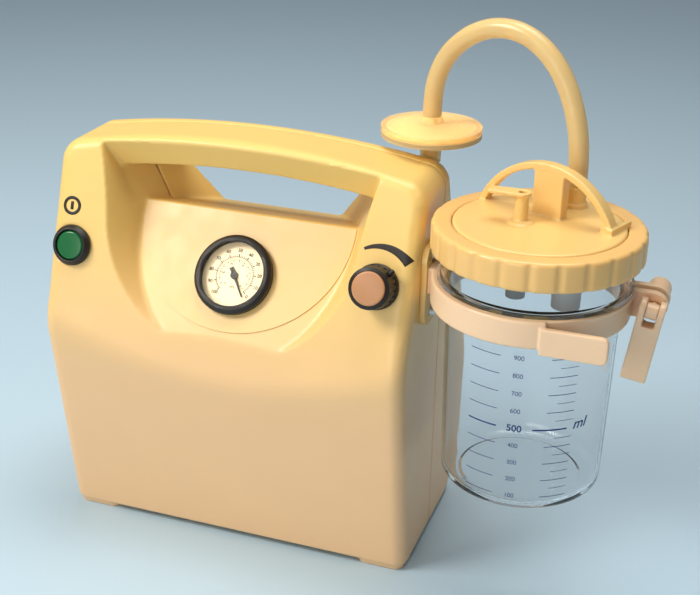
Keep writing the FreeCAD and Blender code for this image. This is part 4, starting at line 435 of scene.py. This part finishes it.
class Ink:
    """Collects flat shapes (across, up), in metres, and lays them on a surface."""

    def __init__(self):
        self.points = []
        self.faces = []

    def band(self, edge_a, edge_b, rows=1):
        """A strip between two lines of points, in rows that can follow a curved surface."""
        first = len(self.points)
        count = len(edge_a)
        for row in range(rows + 1):
            self.points += [a.lerp(b, row / rows) for a, b in zip(edge_a, edge_b)]
        for row in range(rows):
            for n in range(count - 1):
                corner = first + row * count + n
                self.faces.append((corner, corner + 1, corner + count + 1, corner + count))

    def line(self, start, end, width, steps=12):
        """A straight line in short steps, so that it can bend with the surface."""
        start, end = Vector(start), Vector(end)
        side = (end - start).normalized()
        side = Vector((-side.y, side.x)) * width / 2
        run = [start.lerp(end, n / steps) for n in range(steps + 1)]
        self.band([p - side for p in run], [p + side for p in run])

    def arc(self, radius, width, start, end, width_end=None, steps=48, rows=1):
        """A band of an arc about the middle, in degrees, whose width may change along it."""
        inner, outer = [], []
        for n in range(steps + 1):
            share = n / steps
            wide = width + ((width if width_end is None else width_end) - width) * share
            towards = ray(start + (end - start) * share)
            inner.append(towards * (radius - wide / 2))
            outer.append(towards * (radius + wide / 2))
        self.band(inner, outer, rows)

    def words(self, text, size, centre, slant=0.0, weight=0.0):
        """Plain numerals or a unit, set about their middle."""
        curve = bpy.data.curves.new("type", "FONT")
        curve.body = text
        curve.size = size
        curve.align_x = "CENTER"
        curve.align_y = "CENTER"
        curve.shear = slant
        curve.offset = weight
        mesh = evaluated(add("type", curve))
        first = len(self.points)
        self.points += [Vector(centre) + v.co.xy for v in mesh.vertices]
        self.faces += [tuple(first + i for i in p.vertices) for p in mesh.polygons]

    def lay(self, name, body, material, place):
        """place(point) gives a place on the surface and the way out of it."""
        thick = 0.06 * mm
        form = bmesh.new()
        verts = [form.verts.new(spot + out * thick) for spot, out in map(place, self.points)]
        for face in self.faces:
            form.faces.new([verts[i] for i in face])
        bmesh.ops.recalc_face_normals(form, faces=form.faces)
        mesh = applied(mesh_from(form, name), ("SOLIDIFY", {"thickness": 2 * thick, "offset": 0.0}))
        piece_from(name, mesh, body, "pointer_black", material)


def surface(piece):
    """The piece's faces where they stand in the scene, to be met by rays."""
    form = bmesh.new()
    form.from_mesh(piece.data)
    form.transform(piece.matrix_world)
    tree = BVHTree.FromBMesh(form)
    form.free()
    return tree


def laid_on(piece, origin, out):
    """Straight onto a surface that faces out, about the origin: across is to the right."""
    tree = surface(piece)
    up = out.cross(RIGHT)
    reach = 30 * mm

    def place(point):
        start = origin + RIGHT * point[0] + up * point[1] + out * reach
        spot = tree.ray_cast(start, -out)[0]
        return (spot or start - out * reach), out
    return place


def laid_round(piece, axis, at):
    """Round an upright axis: across is the distance round from angle at, up is the height."""
    tree = surface(piece)
    reach = 90 * mm

    def place(point):
        turn = at + point[0] / JAR_RADIUS
        out = Vector((math.cos(turn), math.sin(turn), 0))
        start = Vector((axis.x, axis.y, point[1])) + out * reach
        spot = tree.ray_cast(start, -out)[0]
        return (spot or start - out * (reach - JAR_RADIUS)), out
    return place


def gauge_print():
    """The dial's scale from 0 at the lower right round to 100 at the lower left, with one inside it."""
    zero, full = -48.0, 228.0
    ring, inner_ring = 13.0 * mm, 11.1 * mm
    numerals, inner_numerals = 17.6 * mm, 8.6 * mm
    ink = Ink()

    def along(share):
        return ray(zero + (full - zero) * share)

    ink.arc(ring, 0.22 * mm, zero, full, steps=96)
    ink.arc(inner_ring, 0.16 * mm, zero, full, steps=96)
    for step in range(51):
        out = along(step / 50)
        length, width = (2.2 * mm, 0.6 * mm) if step % 5 == 0 else (1.2 * mm, 0.34 * mm)
        ink.line(out * ring, out * (ring + length), width, 1)
        if step % 4 == 0:
            ink.line(out * inner_ring, out * (inner_ring - 1.3 * mm), 0.35 * mm, 1)
    for number in range(11):
        ink.words(str(number * 10), 3.3 * mm, along(number / 10) * numerals, weight=0.05 * mm)
    for number in range(6):
        ink.words(str(number * 15), 2.0 * mm, along(number / 5) * inner_numerals)
    ink.words("kPa", 2.6 * mm, (0, -8.0 * mm))
    dial = laid_on(frame["nodes"]["gauge_dial"], middle("gauge_dial"), outward("pointer_swing"))
    ink.lay("dial_print", "root", ink_black, dial)


def power_mark():
    """A ring with an upright stroke, above the switch."""
    above, aside, stroke = 26 * mm, 2.6 * mm, 2.1 * mm
    out = outward("button_press")
    ink = Ink()
    ink.arc(5.4 * mm, stroke, 0, 360, rows=2)
    ink.line((0, -2.8 * mm), (0, 2.8 * mm), stroke, 4)
    spot = middle("switch_bezel") + out.cross(RIGHT) * above - RIGHT * aside
    ink.lay("power_mark", "root", ink_black, laid_on(front, spot, out))


def regulator_wedge():
    """The wedge about the regulator that shows which way it opens."""
    ink = Ink()
    ink.arc(25.5 * mm, 1.8 * mm, 118, 42, width_end=6.6 * mm, rows=6)
    pivot = Vector(joint("regulator_turn")["pos_m"])
    ink.lay("regulator_wedge", "root", ink_black, laid_on(front, pivot, outward("regulator_turn")))


def jar_print():
    """The canister's scale in millilitres, long lines each 100 and short lines each 50."""
    half_full, step = 149.9 * mm, 12.15 * mm
    numerals, left, right = -1.49, (-2.07, -1.70), (-1.13, -0.80)
    bold_right, half_right = (-1.28, -0.87), (-1.02, -0.80)
    fine, bold = Ink(), Ink()

    def along(angle):
        """The distance round the jar from its numerals to an angle."""
        return (angle - numerals) * JAR_RADIUS

    def mark(ink, height, span, width, steps=12):
        ink.line((along(span[0]), height), (along(span[1]), height), width, steps)

    for number in range(1, 10):
        height = half_full + (number - 5) * step
        if number == 5:
            mark(bold, height, left, 1.0 * mm)
            mark(bold, height, bold_right, 1.0 * mm)
            bold.words("500", 6.4 * mm, (0, height), weight=0.12 * mm)
        else:
            mark(fine, height, left, 0.42 * mm)
            mark(fine, height, right, 0.42 * mm, 8)
            fine.words(str(number * 100), 4.3 * mm, (0, height))
    for number in range(1, 9):
        mark(fine, half_full + (number - 4.5) * step, half_right, 0.3 * mm, 6)
    bold.words("ml", 10.0 * mm, (along(-0.70), half_full + 1.6 * mm), slant=0.25, weight=0.10 * mm)
    for name, ink in (("jar_scale", fine), ("jar_scale_bold", bold)):
        ink.lay(name, "jar", ink_blue, laid_round(frame["nodes"]["jar"], JAR_AXIS, numerals))


gauge_print()
power_mark()
regulator_wedge()
jar_print()


# The hose from the filter to the lid

HOSE_ROUTE = [
    (111, 28, 304.3), (111, 28, 318), (114, 27, 334), (122.5, 24, 350), (137.5, 19.5, 363.5),
    (156, 14, 370.5), (176, 8, 368.5), (194, 3, 356), (206.5, -0.5, 336.5), (213.5, -3, 315),
    (215.9, -4, 296.5), (215.9, -4, 280)]
CASE_MIDDLE = Vector((76.7, -16.3, 0))


def hose():
    """The route is in millimetres from the case's middle. CASE_MIDDLE is the frame's origin there."""
    diameter = 12.7 * mm
    curve = bpy.data.curves.new("hose", "CURVE")
    curve.dimensions = "3D"
    line = curve.splines.new("NURBS")
    line.points.add(len(HOSE_ROUTE) - 1)
    for point, spot in zip(line.points, HOSE_ROUTE):
        point.co = (*((Vector(spot) - CASE_MIDDLE) * mm), 1)
    line.order_u = 3
    line.use_endpoint_u = True
    curve.resolution_u = 10
    curve.bevel_depth = diameter / 2
    curve.bevel_resolution = 10
    curve.use_fill_caps = True
    piece = add("suction_hose", curve)
    curve.materials.append(materials["hose_amber"])
    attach(piece, "lid")
    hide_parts("vacuum_hose")


hose()


# Floor, light and camera

def stage():
    """The blue floor that the unit stands on."""
    half, colour = 12, (0.48, 0.63, 0.74)
    mesh = bpy.data.meshes.new("floor")
    corners = [(-half, -half, 0), (half, -half, 0), (half, half, 0), (-half, half, 0)]
    mesh.from_pydata(corners, [], [(0, 1, 2, 3)])
    material, shade = shader("floor_paint", colour, 0.7)
    mottle(material, shade, colour, noise(material, 300 * mm, 2.0), 0.01)
    mesh.materials.append(material)
    floor = add("floor", mesh)


def lamp(name, place, target, size, power, colour):
    """A round lamp that shines from its place at the target."""
    data = bpy.data.lights.new(name, "AREA")
    data.shape = "DISK"
    data.size = size
    data.energy = power
    data.color = colour
    light = add(name, data)
    light.location = place
    light.rotation_euler = (Vector(target) - Vector(place)).to_track_quat("-Z", "Y").to_euler()


def lights():
    """A pale room, the key lamp from the upper left, one overhead and a low fill from the front."""
    world = bpy.data.worlds.new("studio")
    world.use_nodes = True
    room = world.node_tree.nodes["Background"]
    room.inputs["Color"].default_value = (0.93, 0.96, 1.0, 1)
    room.inputs["Strength"].default_value = 0.24
    bpy.context.scene.world = world
    aim = (0, 0, 0.15)
    lamp("key", (-1.0, -0.9, 1.5), aim, 0.8, 24, (1.0, 0.97, 0.90))
    lamp("top", (0.1, 0.2, 1.7), aim, 1.0, 15, (1.0, 0.98, 0.92))
    lamp("fill", (-0.3, -1.8, 0.6), aim, 1.2, 10, (1.0, 0.95, 0.88))


def camera():
    """The photograph's camera: where it stands, where it looks and how it leans."""
    width_px, lens_px, sensor = 700, 1289.7, 36.0
    place = Vector((256.0, -760.3, 546.1)) * mm
    turn, drop, lean = 0.3316, 0.4242, 0.0196
    ahead = Vector((-math.sin(turn) * math.cos(drop), math.cos(turn) * math.cos(drop), -math.sin(drop)))
    side = Vector((math.cos(turn), math.sin(turn), 0))
    top = side.cross(ahead)
    right = side * math.cos(lean) + top * math.sin(lean)
    up = top * math.cos(lean) - side * math.sin(lean)
    data = bpy.data.cameras.new("camera")
    data.sensor_width = sensor
    data.lens = lens_px * sensor / width_px
    data.clip_start = 0.01
    viewer = add("camera", data)
    viewer.matrix_world = Matrix((
        (right.x, up.x, -ahead.x, place.x), (right.y, up.y, -ahead.y, place.y),
        (right.z, up.z, -ahead.z, place.z), (0, 0, 0, 1)))
    bpy.context.scene.camera = viewer


stage()
lights()
camera()
bpy.context.scene.view_settings.view_transform = "Standard"
